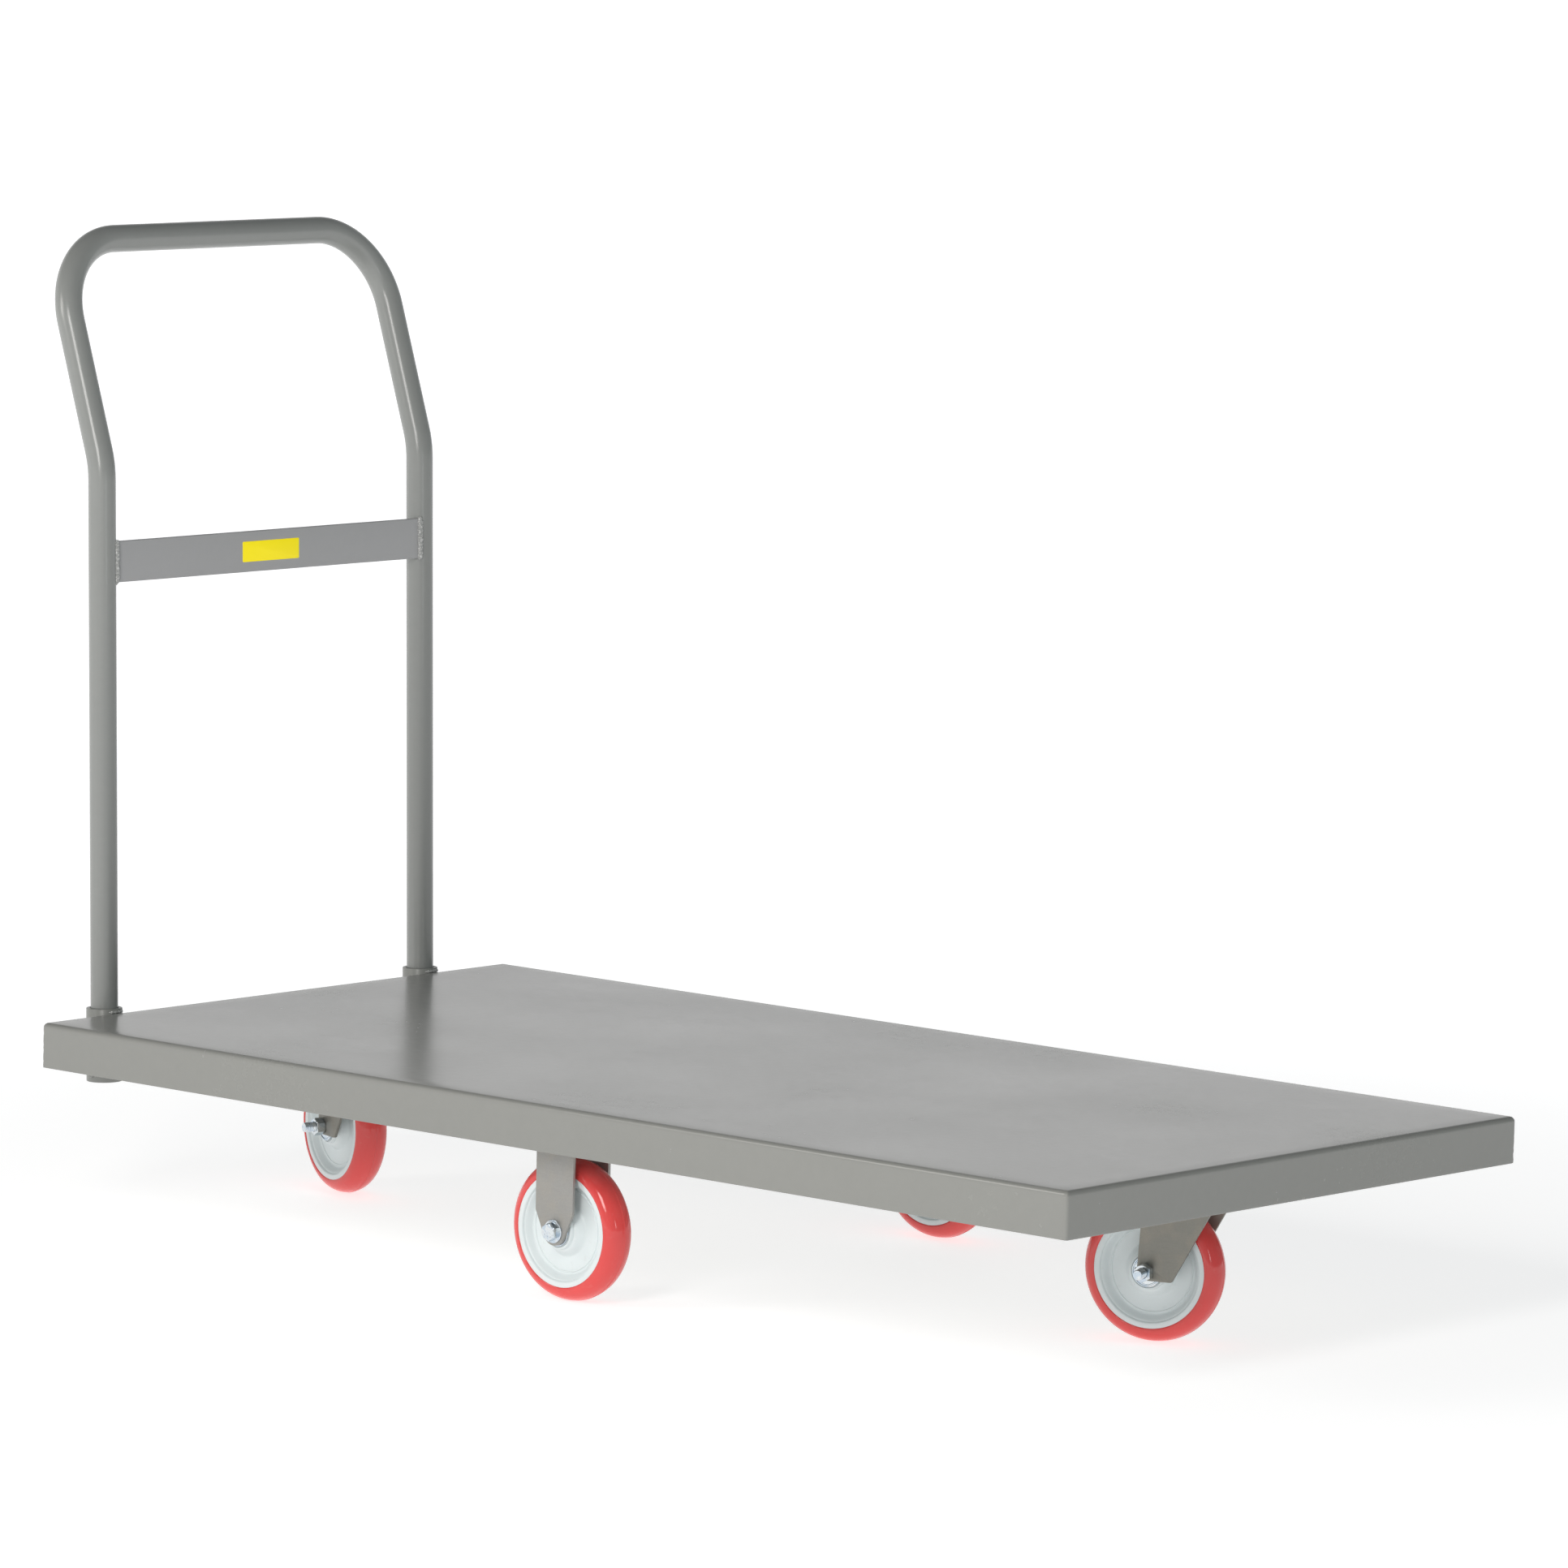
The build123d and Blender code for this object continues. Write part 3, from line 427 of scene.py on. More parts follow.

# %% [markdown]
# ## Making a piece
# A piece is a mesh whose vertices are already in place, with its object at the
# origin. `settle` gives it smooth shading broken at real edges, a finish and a
# body to ride on, and hides the engineering nodes it stands for.


def settle(obj, body, finish, stands_for=(), sharp_angle=35.0):
    mesh = obj.data
    if not mesh.materials:
        mesh.materials.append(finish)
    mesh.shade_smooth()
    mesh.set_sharp_from_angle(angle=math.radians(sharp_angle))
    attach(obj, body)
    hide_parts(*stands_for)
    mesh.calc_loop_triangles()
    print(f"{obj.name}: {len(mesh.loop_triangles)} triangles on {body}")
    return obj


def mesh_object(name, vertices, faces):
    """A mesh with doubles merged and faces turned outwards."""
    mesh = bpy.data.meshes.new(name)
    mesh.from_pydata([tuple(v) for v in vertices], [], faces)
    sheet = bmesh.new()
    sheet.from_mesh(mesh)
    bmesh.ops.remove_doubles(sheet, verts=sheet.verts, dist=1e-7)
    bmesh.ops.recalc_face_normals(sheet, faces=sheet.faces)
    sheet.to_mesh(mesh)
    sheet.free()
    obj = bpy.data.objects.new(name, mesh)
    bpy.context.scene.collection.objects.link(obj)
    return obj


def centre_of(node):
    low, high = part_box(node)
    return (low + high) / 2


def size_of(node):
    low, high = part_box(node)
    return high - low


# %% [markdown]
# ## Deck
# The deck is one sheet folded down on four sides. A plain box with bevelled edges
# would do from far away, but the fold's roundness, the ground weld on each upright
# corner and the sheet's thickness at the lower rim all catch light. So the sheet is
# built ring by ring: from the flat top over the fold, down the lip, round the rim
# and back up the inside. The flats are grids with a wave of a tenth of a millimetre,
# because real sheet is never quite flat.

# %% Deck sizes
DECK_SHEET = 2.66 * MM
FOLD_RADIUS = 4.5 * MM
RIM_ROUND = 0.45 * MM
CORNER_SQUARENESS = 3.2
deck_low, deck_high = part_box("deck_pan")
deck_centre = (deck_low + deck_high) / 2
flat_half_x = (deck_high.x - deck_low.x) / 2 - FOLD_RADIUS
flat_half_y = (deck_high.y - deck_low.y) / 2 - FOLD_RADIUS
GRID_X, GRID_Y = 72, 36
CORNER_STEPS = 7
print("deck", [round(v, 4) for v in size_of("deck_pan")])


# %% One ring of the deck
def deck_ring(inset, height, weld_wobble=0.0):
    """Points round the deck at an inset from its outer faces, corners softened."""
    reach = FOLD_RADIUS - inset
    points = []
    sides = ((1, -1), (1, 1), (-1, 1), (-1, -1))
    for index, (sx, sy) in enumerate(sides):
        before_x, before_y = sides[index - 1]
        along = GRID_X if before_y == sy else GRID_Y
        for step in range(1, along):
            share = step / along
            x = before_x * flat_half_x + (sx - before_x) * flat_half_x * share
            y = before_y * flat_half_y + (sy - before_y) * flat_half_y * share
            x += reach * sx if before_x == sx else 0
            y += reach * sy if before_y == sy else 0
            points.append((x, y, height))
        for step in range(CORNER_STEPS + 1):
            angle = math.pi / 2 * step / CORNER_STEPS
            first = math.cos(angle) ** (2 / CORNER_SQUARENESS) * reach
            second = math.sin(angle) ** (2 / CORNER_SQUARENESS) * reach
            rough = noise.noise(Vector((sx * 9, sy * 5, height * 260))) * weld_wobble
            dent = 1 - abs(rough) * math.sin(2 * angle) / max(reach, 1e-6)
            if before_y == sy:
                first, second = second, first
            points.append((sx * (flat_half_x + first * dent), sy * (flat_half_y + second * dent), height))
    return points


# %% Deck sheet
def flat_grid(height, wave):
    rows = []
    for j in range(GRID_Y + 1):
        row = []
        for i in range(GRID_X + 1):
            x = -flat_half_x + 2 * flat_half_x * i / GRID_X
            y = -flat_half_y + 2 * flat_half_y * j / GRID_Y
            edge = min(1, 4 * min(i, GRID_X - i) / GRID_X * 2, 4 * min(j, GRID_Y - j) / GRID_Y)
            ripple = noise.noise(Vector((x * 5, y * 5, height * 3))) * wave * edge
            row.append((x, y, height - wave * edge + ripple))
        rows.append(row)
    return rows


def deck_rings():
    top, bottom = deck_high.z, deck_low.z
    rings = []
    for step in range(7):
        angle = math.pi / 2 * step / 6
        rings.append(deck_ring(FOLD_RADIUS * (1 - math.sin(angle)), top - FOLD_RADIUS * (1 - math.cos(angle)),
                               0.0 if step < 3 else 0.0005))
    for step in range(1, 15):
        share = step / 14
        height = top - FOLD_RADIUS + (bottom + RIM_ROUND - top + FOLD_RADIUS) * share
        rings.append(deck_ring(0, height, 0.0007))
    rings.append(deck_ring(RIM_ROUND * 0.3, bottom + RIM_ROUND * 0.3))
    rings.append(deck_ring(RIM_ROUND, bottom))
    rings.append(deck_ring(DECK_SHEET - RIM_ROUND, bottom))
    rings.append(deck_ring(DECK_SHEET, bottom + RIM_ROUND))
    inner_radius = FOLD_RADIUS - DECK_SHEET
    inner_top = top - DECK_SHEET
    rings.append(deck_ring(DECK_SHEET, inner_top - inner_radius))
    for step in range(1, 5):
        angle = math.pi / 2 * step / 4
        rings.append(deck_ring(FOLD_RADIUS - inner_radius * math.cos(angle),
                               inner_top - inner_radius * (1 - math.sin(angle))))
    return rings


def deck_sheet():
    vertices, faces = [], []

    def add_strip(rows, closed):
        start = len(vertices)
        width = len(rows[0])
        for row in rows:
            vertices.extend(Vector(p) + Vector((deck_centre.x, deck_centre.y, 0)) for p in row)
        for j in range(len(rows) - 1):
            for i in range(width if closed else width - 1):
                a, b = start + j * width + i, start + j * width + (i + 1) % width
                faces.append((a, b, b + width, a + width))

    add_strip(flat_grid(deck_high.z, 0.00012), False)
    add_strip(flat_grid(deck_high.z - DECK_SHEET, 0.0), False)
    add_strip(deck_rings(), True)
    return mesh_object("deck_sheet", vertices, faces)


settle(deck_sheet(), "frame", DECK_ENAMEL, ["deck_pan"], 50)

# %% [markdown]
# ## Cross channels and caster plates
# Pressed and cut steel has a small radius on every edge, and that radius is what
# makes an edge glint. The engineering shapes are right, so they are copied, merged,
# given a fine bevel and shown in place of the sharp ones.


# %% Soften the edges of an engineering shape
def softened(nodes, name, body, finish, width, sharp_angle=32.0):
    """Copies of CAD nodes on one body, joined, with every sharp edge bevelled."""
    joined = bmesh.new()
    for node in nodes:
        joined.from_mesh(frame["nodes"][node].data)
    bmesh.ops.remove_doubles(joined, verts=joined.verts, dist=2e-6)
    bmesh.ops.dissolve_limit(joined, angle_limit=math.radians(0.8), verts=joined.verts, edges=joined.edges)
    mesh = bpy.data.meshes.new(name + "_copy")
    joined.to_mesh(mesh)
    joined.free()
    copy = bpy.data.objects.new(name + "_copy", mesh)
    bpy.context.scene.collection.objects.link(copy)
    bevel = copy.modifiers.new("edge", "BEVEL")
    bevel.width = width
    bevel.segments = 2
    bevel.limit_method = "ANGLE"
    bevel.angle_limit = math.radians(sharp_angle)
    bevel.use_clamp_overlap = False
    bevel.miter_outer = "MITER_ARC"
    graph = bpy.context.evaluated_depsgraph_get()
    final = bpy.data.meshes.new_from_object(copy.evaluated_get(graph))
    bpy.data.objects.remove(copy)
    final.name = name
    final.materials.clear()
    obj = bpy.data.objects.new(name, final)
    bpy.context.scene.collection.objects.link(obj)
    return settle(obj, body, finish, nodes, sharp_angle)


for where in ("rear", "middle", "front"):
    softened([f"{where}_cross_channel"], f"{where}_channel_steel", "frame", FRAME_ENAMEL, 0.4 * MM)
for where in ("left_rigid", "right_rigid"):
    softened([f"{where}_plate"], f"{where}_plate_steel", "frame", CASTER_STEEL, 0.45 * MM)
    softened([f"{where}_fork"], f"{where}_fork_steel", "frame", CASTER_STEEL, 0.35 * MM)
for where in ("front", "rear"):
    softened([f"{where}_swivel_plate"], f"{where}_swivel_plate_steel", "frame", CASTER_STEEL, 0.45 * MM)
    softened([f"{where}_yoke"], f"{where}_yoke_steel", f"{where}_fork", SHADED_YOKE_STEEL, 0.35 * MM)


# %% [markdown]
# ## Turned pieces
# Wheels, sockets, pins and bolts are round, so they are made as on a lathe: an
# outline of radius and height is turned about an axis, then set in place by a
# matrix. The wheel matrices come from the tyres' boxes and the spin joints' axes.


# %% Lathe
def lathe(outline, steps=96):
    """Vertices and faces of a closed outline of (radius, height) turned about Z."""
    vertices, faces = [], []
    count = len(outline)
    for step in range(steps):
        angle = 2 * math.pi * step / steps
        for radius, height in outline:
            vertices.append(Vector((radius * math.cos(angle), radius * math.sin(angle), height)))
    for step in range(steps):
        here, there = step * count, (step + 1) % steps * count
        for index in range(count):
            after = (index + 1) % count
            faces.append((here + index, there + index, there + after, here + after))
    return vertices, faces


def placed(shape, matrix):
    vertices, faces = shape
    return [matrix @ v for v in vertices], faces


def together(*shapes):
    vertices, faces = [], []
    for some, others in shapes:
        start = len(vertices)
        vertices.extend(some)
        faces.extend(tuple(start + index for index in face) for face in others)
    return vertices, faces


def wheel_matrix(wheel):
    """Local Z on the wheel's axle, the origin at its centre, local X level."""
    axle = Vector(JOINTS[f"{wheel}_wheel_spin"]["axis"]).normalized()
    level_axis = Vector((0, 0, 1)).cross(axle).normalized()
    turn = Matrix((level_axis, axle.cross(level_axis), axle)).transposed()
    return Matrix.Translation(centre_of(f"{wheel}_tyre")) @ turn.to_4x4()


WHEELS = {
    "left": "left_wheel", "right": "right_wheel", "front": "front_wheel", "rear": "rear_wheel",
}
WHEEL_RADIUS = size_of("right_tyre").z / 2
WHEEL_WIDTH = size_of("right_tyre").y
HUB_RADIUS = size_of("right_hub").z / 2
BOSS_HALF = size_of("right_hub").y / 2
RIM_HALF = WHEEL_WIDTH / 2 - 0.5 * MM
print("wheel radius", round(WHEEL_RADIUS, 4), "hub radius", round(HUB_RADIUS, 4))


# %% [markdown]
# ### Tread
# Half an ellipse in section. The mould meets at the middle of the tread and leaves
# a fine raised line, and the lip where the tread meets the hub is rolled over.

# %% Tread outline
PARTING_HEIGHT = 0.22 * MM
PARTING_HALF = 0.45 * MM


def tread_outline():
    crown = WHEEL_RADIUS - HUB_RADIUS
    half = WHEEL_WIDTH / 2
    outline = [(HUB_RADIUS - 0.6 * MM, -half * 0.93), (HUB_RADIUS - 0.1 * MM, -half * 0.985)]
    for step in range(1, 48):
        angle = math.pi * (step / 48 - 0.5)
        height = half * math.sin(angle)
        radius = HUB_RADIUS + (crown - PARTING_HEIGHT) * math.cos(angle)
        outline.append((radius, height))
    middle = len(outline) // 2
    ridge = [(WHEEL_RADIUS - PARTING_HEIGHT, -PARTING_HALF), (WHEEL_RADIUS, -PARTING_HALF * 0.4),
             (WHEEL_RADIUS, PARTING_HALF * 0.4), (WHEEL_RADIUS - PARTING_HEIGHT, PARTING_HALF)]
    outline[middle:middle + 1] = ridge
    outline += [(HUB_RADIUS - 0.1 * MM, half * 0.985), (HUB_RADIUS - 0.6 * MM, half * 0.93)]
    return outline


for wheel, body in WHEELS.items():
    shape = placed(lathe(tread_outline(), 128), wheel_matrix(wheel))
    settle(mesh_object(f"{wheel}_tread", *shape), body, RED_TREAD, [f"{wheel}_tyre"], 60)

# %% [markdown]
# ### Hub
# A rim ring, a dished web with a witness line from the mould, and a boss round the
# bearing. Each change of height is eased, as a moulding must be to leave its mould.

# %% Hub outline
BORE_RADIUS = 11.0 * MM
BOSS_RADIUS = 16.4 * MM
BOSS_FOOT = 24.5 * MM
RING_INNER = HUB_RADIUS - 4.9 * MM
WEB_HALF = 7.5 * MM
WITNESS_RADIUS = 37.2 * MM
WITNESS_HEIGHT = 0.75 * MM
BOSS_GROOVE = (13.9 * MM, 14.1 * MM, 14.6 * MM, 14.8 * MM)
BOSS_GROOVE_DEPTH = 1.2 * MM


def eased(start, end, steps):
    """Heights and radii that leave one level and reach the next without a corner."""
    points = []
    for step in range(steps + 1):
        share = step / steps
        smooth = share * share * (3 - 2 * share)
        points.append((start[0] + (end[0] - start[0]) * share, start[1] + (end[1] - start[1]) * smooth))
    return points


def hub_outline():
    boss, face = BOSS_HALF, RIM_HALF
    groove_depths = (0, BOSS_GROOVE_DEPTH, BOSS_GROOVE_DEPTH, 0)
    upper = [(BORE_RADIUS, boss - 0.6 * MM), (BORE_RADIUS + 0.6 * MM, boss)]
    upper += [(radius, boss - depth) for radius, depth in zip(BOSS_GROOVE, groove_depths)]
    upper += [(BOSS_RADIUS - 0.6 * MM, boss), (BOSS_RADIUS - 0.15 * MM, boss - 0.2 * MM),
              (BOSS_RADIUS, boss - 0.7 * MM)]
    upper += eased((BOSS_RADIUS + 0.5 * MM, boss - 3.5 * MM), (BOSS_FOOT, WEB_HALF), 10)
    for step in range(7):
        angle = math.pi * step / 6
        upper.append((WITNESS_RADIUS - 0.7 * MM * math.cos(angle),
                      WEB_HALF + WITNESS_HEIGHT * math.sin(angle)))
    upper += eased((WITNESS_RADIUS + 1.6 * MM, WEB_HALF), (RING_INNER - 1.0 * MM, face - 2.0 * MM), 10)
    upper += [(RING_INNER - 0.4 * MM, face - 0.7 * MM), (RING_INNER, face - 0.15 * MM),
              (RING_INNER + 0.5 * MM, face)]
    upper += [(HUB_RADIUS - 0.5 * MM, face), (HUB_RADIUS - 0.1 * MM, face - 0.2 * MM),
              (HUB_RADIUS - 0.05 * MM, 0)]
    lower = [(radius, -height) for radius, height in reversed(upper[:-1])]
    return upper + lower


for wheel, body in WHEELS.items():
    shape = placed(lathe(hub_outline(), 112), wheel_matrix(wheel))
    settle(mesh_object(f"{wheel}_hub_moulding", *shape), body, HUB_PLASTIC, [f"{wheel}_hub"], 50)


# %% [markdown]
# ## Axle bolts, nuts and washers
# A hex head is a flat disc that meets six sides, with its corners turned away at
# thirty degrees. The nut end of the bolt shows its thread, so that thread is real
# geometry: the radius follows a helix. A swivel caster's nut sits straight on its
# leg, and a rigid caster's nut stands off on a washer.

# %% Axle hardware sizes
BOLT_RADIUS = 4.75 * MM
THREAD_PITCH = 1.5875 * MM
THREAD_DEPTH = 0.75 * MM
HEX_FLATS = 14.3 * MM
LEG_OUTER = size_of("right_rigid_fork").y / 2
LEG_INNER = LEG_OUTER - 3.2 * MM
WASHER_THICKNESS = 1.5 * MM
WASHER_RADIUS = 10.3 * MM
THRUST_RADIUS = 13.7 * MM
THRUST_HOLE = 6.35 * MM
THRUST_GAP = 0.35 * MM
THRUST_EDGE = 0.35 * MM
THRUST_GROOVE = (12.7 * MM, 12.4 * MM, 12.1 * MM, 11.6 * MM, 11.3 * MM, 11.0 * MM)
THRUST_GROOVE_DEPTHS = (0, 0.3 * MM, 0.9 * MM, 0.9 * MM, 0.3 * MM, 0)
HEAD_HEIGHT = 6.0 * MM
NUT_HEIGHT = 8.6 * MM
END_LENGTH = 10.5 * MM


def hex_radius(flats, angle):
    sixth = math.pi / 3
    return flats / 2 / math.cos((angle + sixth / 2) % sixth - sixth / 2)


def hexagon_shape(flats, bottom, top, hole=0.0, turned_ends=(True, True), steps=96):
    """A hexagon about Z with turned corners, and a hole if it is a nut."""
    flat_radius = flats / 2 * 0.955
    slope = math.tan(math.radians(30))
    rings = []

    def ring(radius_of, height_of):
        points = []
        for step in range(steps):
            angle = 2 * math.pi * step / steps
            radius = radius_of(angle)
            points.append(Vector((radius * math.cos(angle), radius * math.sin(angle), height_of(radius))))
        rings.append(points)

    def cut(radius):
        return max(0.0, radius - flat_radius) * slope

    inner = hole if hole else 0.0001 * MM
    countersink = hole * 1.06 if hole else 0.3 * flat_radius
    drop = hole * 0.1
    ring(lambda a: inner, lambda r: bottom + drop)
    ring(lambda a: countersink, lambda r: bottom)
    ring(lambda a: flat_radius, lambda r: bottom)
    ring(lambda a: hex_radius(flats, a), lambda r: bottom + (cut(r) if turned_ends[0] else 0))
    ring(lambda a: hex_radius(flats, a), lambda r: top - (cut(r) if turned_ends[1] else 0))
    ring(lambda a: flat_radius, lambda r: top)
    ring(lambda a: countersink, lambda r: top)
    ring(lambda a: inner, lambda r: top - drop)
    vertices = [point for points in rings for point in points]
    faces = []
    for index in range(len(rings) if hole else len(rings) - 1):
        after = (index + 1) % len(rings)
        for step in range(steps):
            next_step = (step + 1) % steps
            faces.append((index * steps + step, index * steps + next_step,
                          after * steps + next_step, after * steps + step))
    return vertices, faces


def threaded_rod(radius, bottom, top, pitch, depth, steps=24):
    """A rod about Z, threaded to its top end, its last turn tapered away."""
    samples = 6
    rows = int((top - bottom) / pitch * samples) + 1
    vertices, faces = [], []
    for row in range(rows + 1):
        height = bottom + (top - bottom) * row / rows
        for step in range(steps):
            share = (height / pitch - step / steps) % 1.0
            groove = depth * (1 - abs(2 * share - 1))
            taper = max(0.0, 1 - (top - height) / (0.8 * pitch)) * depth
            fade = min(1.0, (height - bottom) / pitch)
            angle = 2 * math.pi * step / steps
            here = radius - max(groove * fade, taper)
            vertices.append(Vector((here * math.cos(angle), here * math.sin(angle), height)))
    for row in range(rows):
        for step in range(steps):
            a, b = row * steps + step, row * steps + (step + 1) % steps
            faces.append((a, b, b + steps, a + steps))
    for row, height in ((0, bottom), (rows, top)):
        centre = len(vertices)
        vertices.append(Vector((0, 0, height)))
        for step in range(steps):
            faces.append((row * steps + step, row * steps + (step + 1) % steps, centre))
    return vertices, faces


def ring_plate(outer, inner, bottom, top, round_edge, steps=72):
    """A washer with rounded rims."""
    soft = round_edge
    outline = [(inner + soft, bottom), (outer - soft, bottom), (outer - soft * 0.3, bottom + soft * 0.3),
               (outer, bottom + soft), (outer, top - soft), (outer - soft * 0.3, top - soft * 0.3),
               (outer - soft, top), (inner + soft, top), (inner, top - soft), (inner, bottom + soft)]
    return lathe(outline, steps)


# %% Fit the axle hardware
SWIVEL_ENDS = ("front", "rear")


def nut_side(where):
    """+1 when the nut is on the +Z end of the wheel matrix, else -1."""
    nut_place = {"front": "front_axle_nut", "rear": "rear_axle_nut"}.get(where)
    matrix = wheel_matrix(where)
    if nut_place is None:
        return 1 if where == "right" else -1
    return 1 if (matrix.inverted() @ centre_of(nut_place)).z > 0 else -1


def axle_frame(where):
    flip = Matrix.Rotation(0 if nut_side(where) > 0 else math.pi, 4, "X")
    return wheel_matrix(where) @ flip


def bolt_shape(nut_seat):
    seat = -LEG_OUTER - WASHER_THICKNESS
    start = LEG_OUTER
    head = hexagon_shape(HEX_FLATS, seat - HEAD_HEIGHT, seat, 0.0, (True, False))
    shank = lathe([(0.0001 * MM, seat), (BOLT_RADIUS, seat), (BOLT_RADIUS, start), (0.0001 * MM, start)], 32)
    thread = threaded_rod(BOLT_RADIUS, start, nut_seat + NUT_HEIGHT + END_LENGTH, THREAD_PITCH, THREAD_DEPTH)
    return together(head, shank, thread)


def nut_shape(nut_seat):
    return hexagon_shape(HEX_FLATS, nut_seat, nut_seat + NUT_HEIGHT, BOLT_RADIUS)


def washer_shape(nut_seat):
    """The washer under the head, and one under the nut where the nut stands off the leg."""
    hole = BOLT_RADIUS + 0.25 * MM
    under_head = ring_plate(WASHER_RADIUS, hole, -LEG_OUTER - WASHER_THICKNESS, -LEG_OUTER, 0.3 * MM)
    if nut_seat == LEG_OUTER:
        return under_head
    return together(under_head, ring_plate(WASHER_RADIUS, hole, LEG_OUTER, nut_seat, 0.3 * MM))


def thrust_shape(_nut_seat):
    """Two washers between hub and legs, grooved on the leg side; the nut doesn't move them."""
    hole, outer, soft = THRUST_HOLE, THRUST_RADIUS, THRUST_EDGE
    inner_face, top = BOSS_HALF + THRUST_GAP, LEG_INNER
    ring = [(hole + soft, inner_face), (outer - soft, inner_face), (outer, inner_face + soft),
            (outer, top - soft), (outer - soft, top)]
    ring += [(radius, top - depth) for radius, depth in zip(THRUST_GROOVE, THRUST_GROOVE_DEPTHS)]
    ring += [(hole + soft, top), (hole, top - soft), (hole, inner_face + soft)]
    mirrored = [(radius, -height) for radius, height in reversed(ring)]
    return together(lathe(ring, 72), lathe(mirrored, 72))


HARDWARE = {"axle_bolt": bolt_shape, "axle_nut": nut_shape, "bolt_washer": washer_shape,
            "thrust_washers": thrust_shape}
RIGID_NUT_SEAT = LEG_OUTER + WASHER_THICKNESS
for part_name, make in HARDWARE.items():
    for where in SWIVEL_ENDS:
        shape = placed(make(LEG_OUTER), axle_frame(where))
        piece = mesh_object(f"{where}_{part_name}_zinc", *shape)
        settle(piece, f"{where}_fork", ZINC, [f"{where}_{part_name}"], 25)
    plural = part_name if part_name.endswith("s") else part_name + "s"
    shape = together(*[placed(make(RIGID_NUT_SEAT), axle_frame(where)) for where in ("left", "right")])
    settle(mesh_object(f"rigid_{plural}_zinc", *shape), "frame", ZINC, [f"rigid_{plural}"], 25)

# %% [markdown]
# ## Handle
# One 25 mm tube bent four times. Its centre line is a set of corners, each rounded
# by its own bend radius. A ring of points is carried along that line, turned as
# little as possible at each step, so the tube doesn't twist.

# %% Handle centre line
TUBE_WALL = 2.1 * MM
POST_RAKE = math.radians(1.5)
UPPER_TILT = math.radians(18.5)
UPPER_LENGTH = 212.0 * MM
POST_BEND = 90.0 * MM
TOP_BEND = 76.0 * MM
tube_low, tube_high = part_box("handle_tube")
TUBE_RADIUS = 12.7 * MM
side = tube_high.y - TUBE_RADIUS
bar = Vector((tube_low.x + TUBE_RADIUS, 0, tube_high.z - TUBE_RADIUS))
knee = bar + Vector((math.sin(UPPER_TILT), 0, -math.cos(UPPER_TILT))) * UPPER_LENGTH
foot_height = tube_low.z + TUBE_RADIUS * math.sin(POST_RAKE)
foot = knee + Vector((math.tan(POST_RAKE), 0, -1)) * (knee.z - foot_height)
print("posts", round(2 * side, 4), "apart; bar at height", round(bar.z, 4))


def rounded_line(corners, radii, step):
    """Points along straight runs joined by arcs of the given radii."""
    points = [corners[0]]
    for index in range(1, len(corners) - 1):
        here = corners[index]
        back = (corners[index - 1] - here).normalized()
        ahead = (corners[index + 1] - here).normalized()
        half = back.angle(ahead) / 2
        radius = radii[index - 1]
        tangent = radius / math.tan(half)
        middle = here + (back + ahead).normalized() * (radius / math.sin(half))
        first, last = here + back * tangent, here + ahead * tangent
        turn = math.pi - 2 * half
        count = max(4, int(radius * turn / step))
        axis = (first - middle).cross(last - middle).normalized()
        for item in range(count + 1):
            points.append(middle + Matrix.Rotation(turn * item / count, 3, axis) @ (first - middle))
    points.append(corners[-1])
    return points


def divided(points, longest):
    """The same line with no step longer than asked."""
    result = [points[0]]
    for start, end in zip(points, points[1:]):
        count = max(1, math.ceil((end - start).length / longest))
        result += [start + (end - start) * item / count for item in range(1, count + 1)]
    return result


# %% Handle tube
def tube_along(points, outer, inner, steps=48):
    """A hollow tube along a line, its ends cut square and slightly rounded."""
    tangents = []
    for index in range(len(points)):
        before, after = points[max(0, index - 1)], points[min(len(points) - 1, index + 1)]
        tangents.append((after - before).normalized())
    normal = tangents[0].orthogonal().normalized()
    frames = []
    for index, tangent in enumerate(tangents):
        if index:
            normal = tangents[index - 1].rotation_difference(tangent) @ normal
        normal = (normal - tangent * normal.dot(tangent)).normalized()
        frames.append((points[index], normal, tangent.cross(normal), tangent))
    soft = 0.4 * MM

    def loop(frame_at, radius, shift=0.0):
        place, first, second, along = frame_at
        centre = place + along * shift
        return [centre + (first * math.cos(a) + second * math.sin(a)) * radius
                for a in (2 * math.pi * step / steps for step in range(steps))]

    loops = [loop(frames[0], outer - soft), loop(frames[0], outer - soft * 0.3, soft * 0.3)]
    loops += [loop(frames[0], outer, soft)]
    loops += [loop(at, outer) for at in frames[1:-1]]
    loops += [loop(frames[-1], outer, -soft)]
    loops += [loop(frames[-1], outer - soft * 0.3, -soft * 0.3), loop(frames[-1], outer - soft)]
    loops += [loop(at, inner) for at in reversed(frames)]
    vertices = [v for points_at in loops for v in points_at]
    faces = []
    for index in range(len(loops)):
        after = (index + 1) % len(loops)
        for step in range(steps):
            nxt = (step + 1) % steps
            faces.append((index * steps + step, index * steps + nxt,
                          after * steps + nxt, after * steps + step))
    return vertices, faces


def at_side(point, y):
    return Vector((point.x, y, point.z))


corners = [at_side(foot, -side), at_side(knee, -side), at_side(bar, -side),
           at_side(bar, side), at_side(knee, side), at_side(foot, side)]
handle_line = divided(rounded_line(corners, [POST_BEND, TOP_BEND, TOP_BEND, POST_BEND], 5 * MM), 30 * MM)
handle = mesh_object("handle_bent_tube", *tube_along(handle_line, TUBE_RADIUS, TUBE_RADIUS - TUBE_WALL))
settle(handle, "handle", HANDLE_ENAMEL, ["handle_tube"], 50)

# %% [markdown]
# ### Cross brace and label
# A flat bar with rolled edges, welded between the posts a little in front of their
# centres. The label is thin vinyl with nothing printed on it.

